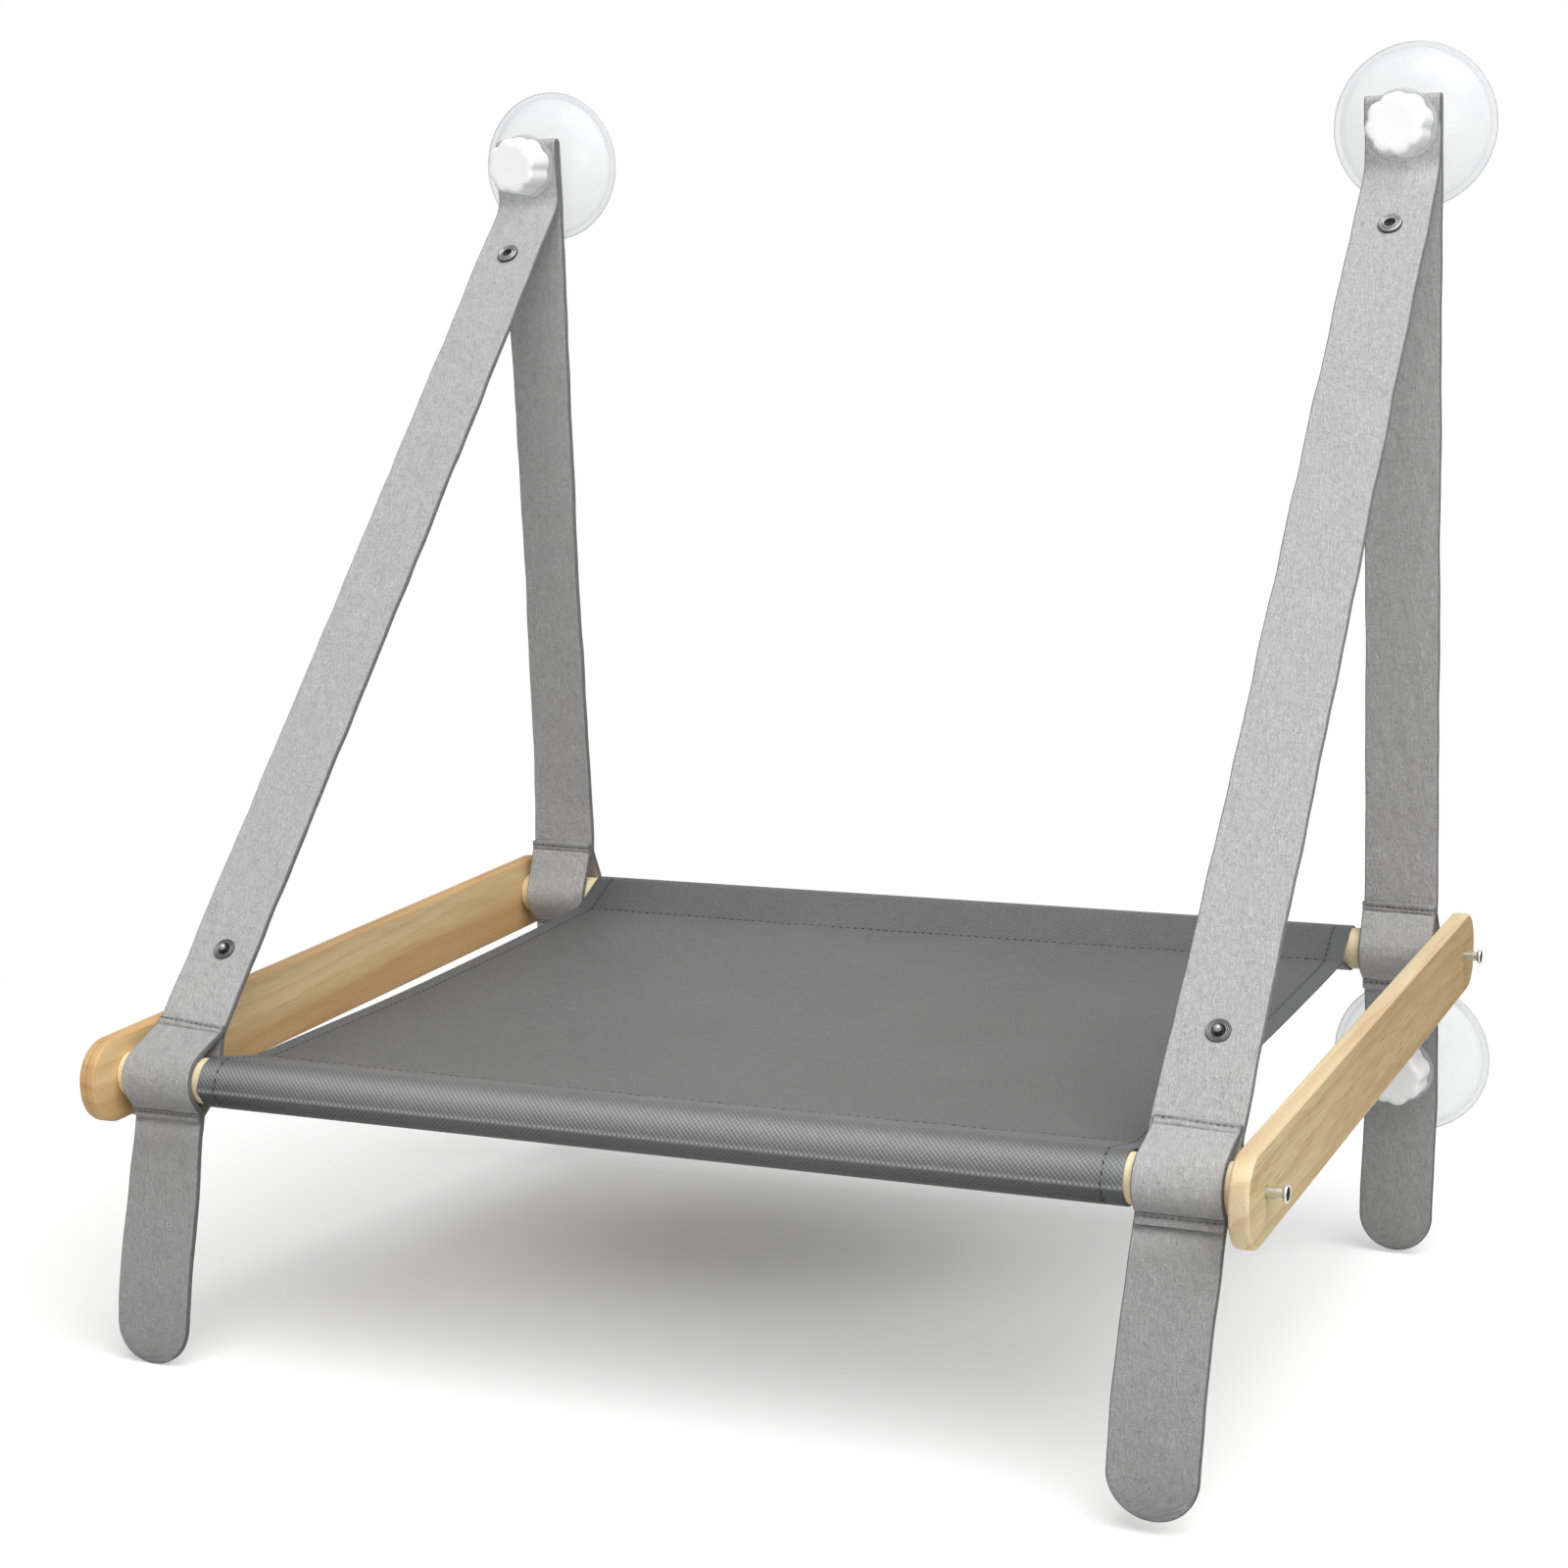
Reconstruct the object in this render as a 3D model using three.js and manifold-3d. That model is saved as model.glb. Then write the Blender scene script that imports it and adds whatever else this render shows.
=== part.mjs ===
// A cat window hammock: a fabric bed on a pine frame, hung from a window by two felt straps and four
// suction cups.
//
// Millimetres. X runs along the window to the right as seen from the room, Y points into the glass and
// Z is up. The glass is the plane Y = 0, and the origin lies on it midway between the two upper
// suction cups.
//
// Each side has one long felt strap: a hanging tail, a sewn tunnel round the back dowel, a run up to
// the upper suction cup, a fold over the top, a slanting run down to the front dowel, a second tunnel
// and a second tail. A felt patch sewn on the room side of the strap closes each tunnel. Snap
// fasteners on the slanting run hold the bed against the window when it is folded up, so that run is
// modelled in three lengths that meet end to end.
import * as THREE from "three";
import { mergeVertices } from "three/addons/utils/BufferGeometryUtils.js";
import Module from "manifold-3d";

const wasm = await Module();
wasm.setup();

// Fits shared by all pieces
const touchGap = 0.3; // between two pieces that touch
const cutOverrun = 2; // how far a cutting shape runs past the piece that it cuts

// The frame as a whole
const dowelSpacing = 400;
const glassToBackDowel = 29.6;
const cupAboveDowel = 432.7; // upper suction cup's centre above the back dowel's axis
const cupBelowDowel = 66;

// Pine side boards
const boardSpan = 576; // over both boards' outer faces
const boardThickness = 9;
const boardHeight = 40;
const boardOverhang = 27.5; // past each dowel's axis
const boardCornerRadius = 16;
const boardEdgeRound = 0.8;

// Pine dowels
const dowelDiameter = 22;
const dowelChamfer = 0.8;

// Threaded inserts in the dowel ends, and the bolts that go into them
const insertLength = 13;
const insertDiameter = 8;
const insertFlangeDiameter = 11;
const insertFlangeThickness = 1;
const boltDiameter = 5;
const boltFit = 0.4; // radial room of the bolt in its holes
const boltHeadDiameter = 7.9;
const boltHeadThickness = 1.3;
const boltStandOff = 7.8; // bare shank between the board and the head
const boltGrip = 11; // thread inside the insert
const hexKeyAcrossFlats = 3;
const hexKeyDepth = 2.2;

// Felt straps
const strapWidth = 38;
const strapToBoard = 6; // bare dowel between a strap and its side board
const feltThickness = 3;
const strapTopRise = 15.3; // top fold above the upper cup's centre
const bendDrop = 21.7; // where the slanting run leaves, below the upper cup's centre
const backRunBehindDowel = 3.6; // middle of the vertical run behind the back dowel's axis
const tunnelSeamUp = 28; // seams of a tunnel from the dowel's axis, on the run's side
const tunnelSeamDown = 16.5; // and on the tail's side
const patchPastSeamUp = 4.5; // from a seam to the patch's edge, on the run's side
const patchPastSeamDown = 6; // and on the tail's side
const backTailLength = { left: 130, right: 148 }; // below the tunnel's lower seam
const backTailLean = 14; // how far the tail's end hangs toward the room
const frontTail = { left: { length: 118, lean: 29 }, right: { length: 112, lean: 44 } };
const frontTailStart = { left: 15, right: 30 }; // degrees from straight down at the lower seam

// Snap fasteners on the slanting run
const socketBelowBend = 38.5;
const studAboveDowel = 72;
const studToJoint = 10; // the run's last length meets the tunnel's length this far below the stud
const snapPostRadius = 1.7;
const snapHoleRadius = 2.1;
const capRadius = 6;
const capHeight = 1.5;
const socketRadius = 6.2;
const socketHeight = 2.2;
const socketBoreRadius = 2.5;
const studRadius = 5.7;
const studBaseHeight = 1.4;
const studHeight = 4.2;
const studBallRadius = 1.9;

// Suction cups
const cupRadius = 42.5;
const cupRimWidth = 3.2; // flat that seals on the glass
const cupRimThickness = 1.6;
const cupHollowDepth = 9.5;
const cupDomeHeight = 15.5;
const cupNeckRadius = 11;

// Screws held in the cups, with their washers and knobs
const screwRadius = 3;
const screwFit = 0.4;
const screwFlangeRadius = 8;
const screwFlangeThickness = 2.2;
const screwFlangeFromGlass = 11.9;
const screwLength = 32; // from the flange to the tip
const washerRadius = 17.3;
const washerThickness = 2;
const knobBaseRadius = 16;
const knobFaceRadius = 13.4;
const knobHeight = 17.5;
const knobLobes = 8;
const knobLobeHeight = 0.85;
const knobFaceRound = 3;
const knobCapWall = 4; // solid plastic in front of the screw's tip

// Sling
const slingToStrap = 5.5; // bare dowel between the cloth and each strap
const slingThickness = 1.6;
const slingSag = 11; // at the side hems
const slingExtraSag = 5; // more in the middle of the bed
const sleeveSeamDepth = 34; // sleeve seam from the dowel's axis

// Colours and finishes
const pine = { color: 0xc9a878, roughness: 0.6, metalness: 0 };
const felt = { color: 0xbdbdbd, roughness: 0.95, metalness: 0 };
const canvasCloth = { color: 0x7b7b7d, roughness: 0.9, metalness: 0 };
const clearVinyl = { color: 0xe9edee, roughness: 0.15, metalness: 0, transparent: true, opacity: 0.5 };
const whitePlastic = { color: 0xf4f4f2, roughness: 0.4, metalness: 0 };
const gunmetal = { color: 0x6c6c70, roughness: 0.35, metalness: 0.9 };
const zincSteel = { color: 0xa9abae, roughness: 0.35, metalness: 0.9 };
const brass = { color: 0xb79a55, roughness: 0.35, metalness: 0.9 };

// Places worked out from those sizes
const sides = { left: -1, right: 1 };
const dowelZ = -cupAboveDowel;
const backDowel = new THREE.Vector2(-glassToBackDowel, dowelZ);
const frontDowel = new THREE.Vector2(backDowel.x - dowelSpacing, dowelZ);
const lowerCupZ = dowelZ - cupBelowDowel;
const boardInnerX = boardSpan / 2 - boardThickness;
const strapX = boardInnerX - strapToBoard - strapWidth / 2; // middle of the right strap
const slingWidth = 2 * (strapX - strapWidth / 2 - slingToStrap);
const dowelHalfLength = boardInnerX - touchGap;
const layerStep = feltThickness + touchGap; // middle to middle of two layers of felt
const rearLayerY = backDowel.x + backRunBehindDowel;
const frontLayerY = rearLayerY - layerStep;
const cupHeight = -(rearLayerY + feltThickness / 2 + touchGap); // glass to the front of the neck
const bend = new THREE.Vector2(frontLayerY - feltThickness / 2, -bendDrop);

// The slanting run's room-side face passes through the bend, and its middle clears the front dowel's
// patch.
const bendReach = bend.distanceTo(frontDowel);
const runAngle = bend.clone().sub(frontDowel).angle() + Math.asin(touchGap / 2 / bendReach);
const runDirection = new THREE.Vector2(Math.cos(runAngle), Math.sin(runAngle));
const roomNormal = new THREE.Vector2(-runDirection.y, runDirection.x);
const runMiddle = -layerStep / 2; // middle of the run along roomNormal from the line through the dowel's axis
const runLength = bend.clone().sub(frontDowel).dot(runDirection);
const socketAt = runLength - socketBelowBend;
const studAt = studAboveDowel;
const foldAt = (socketAt + studAt) / 2; // the run folds here, so that the stud meets the socket
const jointAt = studAt - studToJoint;

const hammock = new THREE.Group();

function addMesh(parent, name, geometry, finish) {
  const mesh = new THREE.Mesh(geometry, new THREE.MeshStandardMaterial(finish));
  mesh.name = name;
  parent.add(mesh);
  return mesh;
}

function groupAt(parent, x, y, z) {
  const group = new THREE.Group();
  group.position.set(x, y, z);
  parent.add(group);
  return group;
}

function solidFrom(geometry) {
  const bare = geometry.index ? geometry.clone() : geometry;
  bare.deleteAttribute("normal");
  bare.deleteAttribute("uv");
  const merged = mergeVertices(bare);
  const vertProperties = new Float32Array(merged.attributes.position.array);
  const triVerts = new Uint32Array(merged.index.array);
  return new wasm.Manifold(new wasm.Mesh({ numProp: 3, vertProperties, triVerts }));
}

function geometryFrom(solid) {
  const mesh = solid.getMesh();
  const geometry = new THREE.BufferGeometry();
  geometry.setAttribute("position", new THREE.BufferAttribute(mesh.vertProperties, 3));
  geometry.setIndex(new THREE.BufferAttribute(mesh.triVerts, 1));
  const flat = geometry.toNonIndexed();
  flat.computeVertexNormals();
  return flat;
}

function cut(geometry, ...cutters) {
  const whole = solidFrom(geometry);
  return geometryFrom(cutters.reduce((solid, cutter) => solid.subtract(solidFrom(cutter)), whole));
}

// A revolved profile of [radius, height] points round the Y axis. LatheGeometry faces outward where
// the profile goes counterclockwise, so one that is listed the other way round is reversed.
function turned(profile, segments) {
  const points = profile.map(([radius, height]) => new THREE.Vector2(radius, height));
  if (THREE.ShapeUtils.area(points) < 0) points.reverse();
  return new THREE.LatheGeometry(points, segments);
}

function arcPoints(centre, radius, from, to, steps) {
  return Array.from({ length: steps + 1 }, (_, i) => {
    const angle = from + ((to - from) * i) / steps;
    return new THREE.Vector2(centre.x + radius * Math.cos(angle), centre.y + radius * Math.sin(angle));
  });
}

// Side boards: a flat board with rounded ends and two bolt holes, its outline drawn in the Y-Z plane.
function makeBoard() {
  const back = backDowel.x + boardOverhang;
  const front = frontDowel.x - boardOverhang;
  const low = dowelZ - boardHeight / 2;
  const high = dowelZ + boardHeight / 2;
  const corner = boardCornerRadius;
  const outline = new THREE.Shape();
  outline.moveTo(front + corner, low);
  outline.lineTo(back - corner, low);
  outline.absarc(back - corner, low + corner, corner, -Math.PI / 2, 0);
  outline.lineTo(back, high - corner);
  outline.absarc(back - corner, high - corner, corner, 0, Math.PI / 2);
  outline.lineTo(front + corner, high);
  outline.absarc(front + corner, high - corner, corner, Math.PI / 2, Math.PI);
  outline.lineTo(front, low + corner);
  outline.absarc(front + corner, low + corner, corner, Math.PI, (3 * Math.PI) / 2);
  const board = new THREE.ExtrudeGeometry(outline, {
    depth: boardThickness - 2 * boardEdgeRound,
    bevelThickness: boardEdgeRound,
    bevelSize: boardEdgeRound,
    bevelOffset: -boardEdgeRound,
    bevelSegments: 1,
    curveSegments: 7,
  });
  board.translate(0, 0, boardEdgeRound - boardThickness / 2);
  board.applyMatrix4(sideViewToWorld());
  const holes = [backDowel, frontDowel].map((axis) => {
    const hole = new THREE.CylinderGeometry(
      boltDiameter / 2 + boltFit,
      boltDiameter / 2 + boltFit,
      boardThickness + cutOverrun,
      14,
    );
    return hole.rotateZ(Math.PI / 2).translate(0, axis.x, axis.y);
  });
  return cut(board, ...holes);
}

// Turns a shape drawn in X-Y and extruded along Z into the side view: its x becomes Y and its y
// becomes Z.
function sideViewToWorld() {
  const toGlass = new THREE.Vector3(0, 1, 0);
  const up = new THREE.Vector3(0, 0, 1);
  const along = new THREE.Vector3(1, 0, 0);
  return new THREE.Matrix4().makeBasis(toGlass, up, along);
}

// Dowel with a stepped pocket for the insert and its flange at each end.
function makeDowel() {
  const radius = dowelDiameter / 2;
  const pocket = insertDiameter / 2 + touchGap;
  const flangePocket = insertFlangeDiameter / 2 + touchGap;
  const floor = dowelHalfLength - insertLength - 2 * touchGap;
  const step = dowelHalfLength - insertFlangeThickness - 2 * touchGap;
  const half = [
    [0, floor],
    [pocket, floor],
    [pocket, step],
    [flangePocket, step],
    [flangePocket, dowelHalfLength],
    [radius - dowelChamfer, dowelHalfLength],
    [radius, dowelHalfLength - dowelChamfer],
  ];
  const otherHalf = half.map(([r, along]) => [r, -along]).reverse();
  return turned([...half, ...otherHalf], 24).rotateZ(-Math.PI / 2);
}

// Insert: a flanged sleeve with a groove that grips the wood, its mouth at height 0 and its length
// going down.
function makeInsert() {
  const outer = insertDiameter / 2;
  const bore = boltDiameter / 2 + boltFit;
  const groove = outer - (outer - bore) / 3;
  const band = insertLength / 3;
  return turned(
    [
      [bore, -insertLength],
      [outer, -insertLength],
      [outer, -insertLength + band],
      [groove, -insertLength + (band * 3) / 2],
      [outer, -insertLength + 2 * band],
      [outer, -insertFlangeThickness],
      [insertFlangeDiameter / 2, -insertFlangeThickness],
      [insertFlangeDiameter / 2, 0],
      [bore, 0],
      [bore, -insertLength],
    ],
    14,
  );
}

// Bolt: shank and a thin flat head with a dished hexagonal key hole. Height 0 is the board's outer
// face.
function makeBolt() {
  const shank = boltDiameter / 2;
  const head = boltHeadDiameter / 2;
  const tip = -(boardThickness + touchGap + boltGrip);
  const headTop = boltStandOff + boltHeadThickness;
  const headRound = boltHeadThickness / 3;
  const body = turned(
    [
      [0, tip],
      [shank - headRound, tip],
      [shank, tip + headRound],
      [shank, boltStandOff - headRound],
      [shank + headRound, boltStandOff],
      [head - headRound, boltStandOff],
      [head, boltStandOff + headRound],
      [head, headTop - headRound],
      [head - headRound, headTop],
      [shank, headTop],
      [0, headTop - headRound],
    ],
    16,
  );
  const keyRadius = hexKeyAcrossFlats / Math.sqrt(3);
  const key = new THREE.CylinderGeometry(keyRadius, keyRadius, 2 * hexKeyDepth, 6);
  key.translate(0, headTop, 0);
  return cut(body, key);
}

// The way round a dowel's tunnel in the side view, from the seam on the run's side to the seam on the
// tail's side. It touches a circle about the dowel between two straight stretches. side is 1 where the
// way passes behind the dowel and -1 where it passes in front.
function tunnelWay(axis, upAngle, downAngle, side) {
  const radius = dowelDiameter / 2 + touchGap + feltThickness / 2;
  const upEnd = seamPoint(axis, upAngle, tunnelSeamUp, -side);
  const downEnd = seamPoint(axis, downAngle, tunnelSeamDown, side);
  const upReach = upEnd.distanceTo(axis);
  const downReach = downEnd.distanceTo(axis);
  const from = upEnd.clone().sub(axis).angle() - side * Math.acos(radius / upReach);
  const to = downEnd.clone().sub(axis).angle() + side * Math.acos(radius / downReach);
  const turn = 2 * Math.PI;
  const sweep = -side * ((side * (from - to) + 2 * turn) % turn);
  return [upEnd, ...arcPoints(axis, radius, from, from + sweep, 8), downEnd];
}

// The middle of one layer of felt where two layers lie together, at a distance from a dowel's axis.
function seamPoint(axis, angle, distance, layerSide) {
  const offset = (layerSide * layerStep) / 2;
  return new THREE.Vector2(
    axis.x + distance * Math.cos(angle) - offset * Math.sin(angle),
    axis.y + distance * Math.sin(angle) + offset * Math.cos(angle),
  );
}

// A strip of felt that follows a way in the side view, strapWidth wide in X. roundEnd shapes its last
// end as a half circle.
function feltStrip(way, roundEnd) {
  const half = strapWidth / 2;
  const marks = [0];
  for (let i = 1; i < way.length; i += 1) marks.push(marks[i - 1] + way[i].distanceTo(way[i - 1]));
  const total = marks.at(-1);
  const roundSteps = 8;
  const firstRowShare = 0.35; // of a step, so that no row falls on the straight part's last one
  const stations = roundEnd ? marks.filter((mark) => mark < total - half) : [...marks];
  if (roundEnd) {
    for (let i = 0; i < roundSteps; i += 1) {
      const angle = ((i + firstRowShare) / roundSteps) * (Math.PI / 2);
      stations.push(total - half + half * Math.sin(angle));
    }
  }
  const rows = stations.map((mark) => {
    const past = mark - (total - half);
    const reach = roundEnd && past > 0 ? Math.sqrt(half * half - past * past) : half;
    return { ...pointOnWay(way, marks, mark), reach };
  });
  return ribbon(rows);
}

// The point at a length along a way, and the way's normal there: left of the direction of travel,
// lengthened at a corner so that the strip keeps its thickness.
function pointOnWay(way, marks, mark) {
  const last = way.length - 1;
  const tolerance = touchGap / 100;
  let i = marks.findIndex((value) => value >= mark - tolerance);
  if (i < 0) i = last;
  const onCorner = Math.abs(marks[i] - mark) < tolerance;
  const before = way[Math.max(i - 1, 0)];
  const after = way[Math.min(i + (onCorner ? 1 : 0), last)];
  const share = onCorner ? 1 : (mark - marks[i - 1]) / (marks[i] - marks[i - 1]);
  const here = before.clone().lerp(way[i], share);
  const incoming = way[Math.max(i, 1)].clone().sub(way[Math.max(i, 1) - 1]).normalize();
  const outgoing = onCorner && i < last ? after.clone().sub(here).normalize() : incoming;
  const sum = (i === 0 ? outgoing.clone() : incoming.clone()).add(outgoing).normalize();
  const stretch = 1 / Math.max(sum.dot(outgoing), 1 / 2);
  return { here, normal: new THREE.Vector2(-sum.y, sum.x).multiplyScalar(stretch) };
}

// A closed strip through rows of four corners each.
function ribbon(rows) {
  const positions = [];
  for (const { here, normal, reach } of rows) {
    const faceA = here.clone().addScaledVector(normal, feltThickness / 2);
    const faceB = here.clone().addScaledVector(normal, -feltThickness / 2);
    positions.push(-reach, faceA.x, faceA.y, reach, faceA.x, faceA.y);
    positions.push(reach, faceB.x, faceB.y, -reach, faceB.x, faceB.y);
  }
  const index = [0, 2, 1, 0, 3, 2];
  const end = 4 * (rows.length - 1);
  index.push(end, end + 1, end + 2, end, end + 2, end + 3);
  for (let row = 0; row + 1 < rows.length; row += 1) {
    for (let edge = 0; edge < 4; edge += 1) {
      const a = 4 * row + edge;
      const b = 4 * row + ((edge + 1) % 4);
      index.push(a, b, b + 4, a, b + 4, a + 4);
    }
  }
  const geometry = new THREE.BufferGeometry();
  geometry.setAttribute("position", new THREE.Float32BufferAttribute(positions, 3));
  geometry.setIndex(index);
  return geometry;
}

// A round hole through felt, square to its faces at a point in the side view.
function feltHole(point, angle, radius) {
  const length = 2 * (feltThickness + touchGap) + 2 * cutOverrun;
  const hole = new THREE.CylinderGeometry(radius, radius, length, 16);
  return hole.rotateX(angle).translate(0, point.x, point.y);
}

// A point on the slanting run: a distance up from the front dowel's axis, and an offset toward the
// room.
function onRun(distance, offset) {
  return frontDowel.clone().addScaledVector(runDirection, distance).addScaledVector(roomNormal, offset);
}

// The strap's back length: from the bend up, over the top fold, down the window, behind the back dowel
// and out to the round end of the back tail. The upper screw passes through both layers, the lower one
// through the tail.
function makeBackStrap(side) {
  const foldRadius = layerStep / 2;
  const middleY = (rearLayerY + frontLayerY) / 2;
  const foldCentre = new THREE.Vector2(middleY, strapTopRise - foldRadius - feltThickness / 2);
  const down = -Math.PI / 2;
  const tunnel = tunnelWay(backDowel, Math.PI / 2, down, 1);
  const seam = tunnel.at(-1);
  const flatTop = new THREE.Vector2(rearLayerY, lowerCupZ + washerRadius);
  const flatBottom = new THREE.Vector2(rearLayerY, lowerCupZ - washerRadius);
  const toFlat = new THREE.QuadraticBezierCurve(
    seam,
    new THREE.Vector2(rearLayerY, (seam.y + flatTop.y) / 2),
    flatTop,
  );
  const tailEnd = new THREE.Vector2(rearLayerY - backTailLean, seam.y - backTailLength[side]);
  const tail = new THREE.CubicBezierCurve(
    flatBottom,
    new THREE.Vector2(rearLayerY, (flatBottom.y * 3 + tailEnd.y) / 4),
    new THREE.Vector2(tailEnd.x, (flatBottom.y + tailEnd.y) / 2),
    tailEnd,
  );
  const way = [
    new THREE.Vector2(frontLayerY, -bendDrop),
    ...arcPoints(foldCentre, foldRadius, Math.PI, 0, 6),
    new THREE.Vector2(rearLayerY, backDowel.y + 2 * tunnelSeamUp),
    ...tunnel,
    ...toFlat.getPoints(4).slice(1),
    ...tail.getSpacedPoints(12),
  ];
  const screwHole = screwRadius + screwFit;
  return cut(
    feltStrip(way, true),
    feltHole(new THREE.Vector2(middleY, 0), 0, screwHole),
    feltHole(new THREE.Vector2(rearLayerY, lowerCupZ), 0, screwHole),
  );
}

// A patch that closes a tunnel on the room side, from just past one seam to just past the other.
function makePatch(axis, upAngle, downAngle) {
  const tunnel = tunnelWay(axis, upAngle, downAngle, -1);
  const first = seamPoint(axis, upAngle, tunnelSeamUp + patchPastSeamUp, 1);
  const last = seamPoint(axis, downAngle, tunnelSeamDown + patchPastSeamDown, -1);
  return feltStrip([first, ...tunnel, last], false);
}

function makeStraightRun(from, to, holeAt) {
  const run = feltStrip([onRun(from, runMiddle), onRun(to, runMiddle)], false);
  return cut(run, feltHole(onRun(holeAt, runMiddle), runAngle + Math.PI / 2, snapHoleRadius));
}

// The run's last length, the tunnel behind the front dowel and the front tail.
function makeFrontLoop(side) {
  const { length, lean } = frontTail[side];
  const downAngle = -Math.PI / 2 - THREE.MathUtils.degToRad(frontTailStart[side]);
  const tunnel = tunnelWay(frontDowel, runAngle, downAngle, 1);
  const seam = tunnel.at(-1);
  const drift = Math.tan(THREE.MathUtils.degToRad(frontTailStart[side]));
  const tail = new THREE.CubicBezierCurve(
    seam,
    new THREE.Vector2(seam.x - (drift * length) / 3, seam.y - length / 3),
    new THREE.Vector2(seam.x - lean, seam.y - (length * 2) / 3),
    new THREE.Vector2(seam.x - lean, seam.y - length),
  );
  const runEnd = onRun(jointAt - touchGap / 2, runMiddle);
  return feltStrip([runEnd, ...tunnel, ...tail.getSpacedPoints(16).slice(1)], true);
}

// Snap parts stand on a felt face at height 0, with their open side up.
function makeSnapCap() {
  const round = capHeight / 3;
  const rearFace = -feltThickness - 2 * touchGap;
  const postTip = studBaseHeight - 2 * touchGap;
  return turned(
    [
      [0, rearFace - capHeight],
      [capRadius - 2 * round, rearFace - capHeight],
      [capRadius, rearFace - round],
      [capRadius, rearFace],
      [snapPostRadius, rearFace],
      [snapPostRadius, postTip],
      [0, postTip],
    ],
    14,
  );
}

// Socket: a ring whose top slopes down into the bore from a flat band near its rim.
function makeSnapSocket() {
  const lip = socketRadius - socketBoreRadius;
  const slope = socketHeight / 4;
  return turned(
    [
      [socketBoreRadius, 0],
      [socketRadius, 0],
      [socketRadius, socketHeight / 2],
      [socketRadius - lip / 5, socketHeight],
      [socketRadius - lip / 2, socketHeight],
      [socketBoreRadius + lip / 4, socketHeight - slope],
      [socketBoreRadius, socketHeight - 2 * slope],
      [socketBoreRadius, 0],
    ],
    18,
  );
}

// Stud: a dished base with a ball on a narrower neck.
function makeSnapStud() {
  const bore = snapPostRadius + touchGap;
  const rimRound = studBaseHeight / 2;
  const neck = (studBallRadius * 4) / 5;
  const ballMiddle = studHeight - studBallRadius;
  const ball = arcPoints(new THREE.Vector2(0, ballMiddle), studBallRadius, 0, Math.PI / 2, 3);
  return turned(
    [
      [0, studBaseHeight],
      [bore, studBaseHeight],
      [bore, 0],
      [studRadius, 0],
      [studRadius, studBaseHeight - rimRound],
      [studRadius - rimRound, studBaseHeight],
      [(bore + studRadius) / 2, studBaseHeight + rimRound / 5],
      [neck, (studBaseHeight + ballMiddle) / 2],
      ...ball.map((point) => [point.x, point.y]),
    ],
    16,
  );
}

// Suction cup about the Y axis, its rim on the glass at Y = 0 and its neck toward the room. A pocket
// open to the front holds the screw's flange.
function makeCup() {
  const bore = screwRadius + screwFit;
  const pocket = screwFlangeRadius + touchGap;
  const pocketFloor = -(screwFlangeFromGlass - touchGap);
  const pocketRoof = -(screwFlangeFromGlass + screwFlangeThickness + touchGap);
  const innerRadius = cupRadius - cupRimWidth;
  const innerSteps = 5;
  const outerSteps = 6;
  const inner = Array.from({ length: innerSteps + 1 }, (_, i) => {
    const share = i / innerSteps;
    return [innerRadius * share, -cupHollowDepth * (1 - share * share)];
  });
  const neckFoot = cupNeckRadius + cupRimThickness;
  const outer = Array.from({ length: outerSteps + 1 }, (_, i) => {
    const share = i / outerSteps;
    const riseShare = (1 - (1 - share) ** 2) ** (3 / 4);
    const rise = (cupDomeHeight - cupRimThickness) * riseShare;
    return [cupRadius + (neckFoot - cupRadius) * share, -cupRimThickness - rise];
  });
  const neckRound = cupRimThickness / 2;
  return turned(
    [
      ...inner,
      [cupRadius, 0],
      ...outer,
      [cupNeckRadius, -(cupDomeHeight + cupHeight) / 2],
      [cupNeckRadius, -cupHeight + neckRound],
      [cupNeckRadius - neckRound, -cupHeight],
      [bore, -cupHeight],
      [bore, pocketRoof],
      [pocket, pocketRoof],
      [pocket, pocketFloor],
      [0, pocketFloor],
    ],
    28,
  );
}

function makeScrew() {
  const tip = -(screwFlangeFromGlass + screwLength);
  const flangeRoof = -(screwFlangeFromGlass + screwFlangeThickness);
  const chamfer = screwRadius / 4;
  return turned(
    [
      [0, -screwFlangeFromGlass],
      [screwFlangeRadius, -screwFlangeFromGlass],
      [screwFlangeRadius, flangeRoof],
      [screwRadius, flangeRoof],
      [screwRadius, tip + chamfer],
      [screwRadius - chamfer, tip],
      [0, tip],
    ],
    16,
  );
}

// A flat clear washer, its rear face at height 0 and its front at -washerThickness.
function makeWasher() {
  const bore = screwRadius + screwFit;
  const round = washerThickness / 3;
  return turned(
    [
      [bore, 0],
      [washerRadius, 0],
      [washerRadius, round - washerThickness],
      [washerRadius - round, -washerThickness],
      [bore, -washerThickness],
      [bore, 0],
    ],
    24,
  );
}

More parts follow.
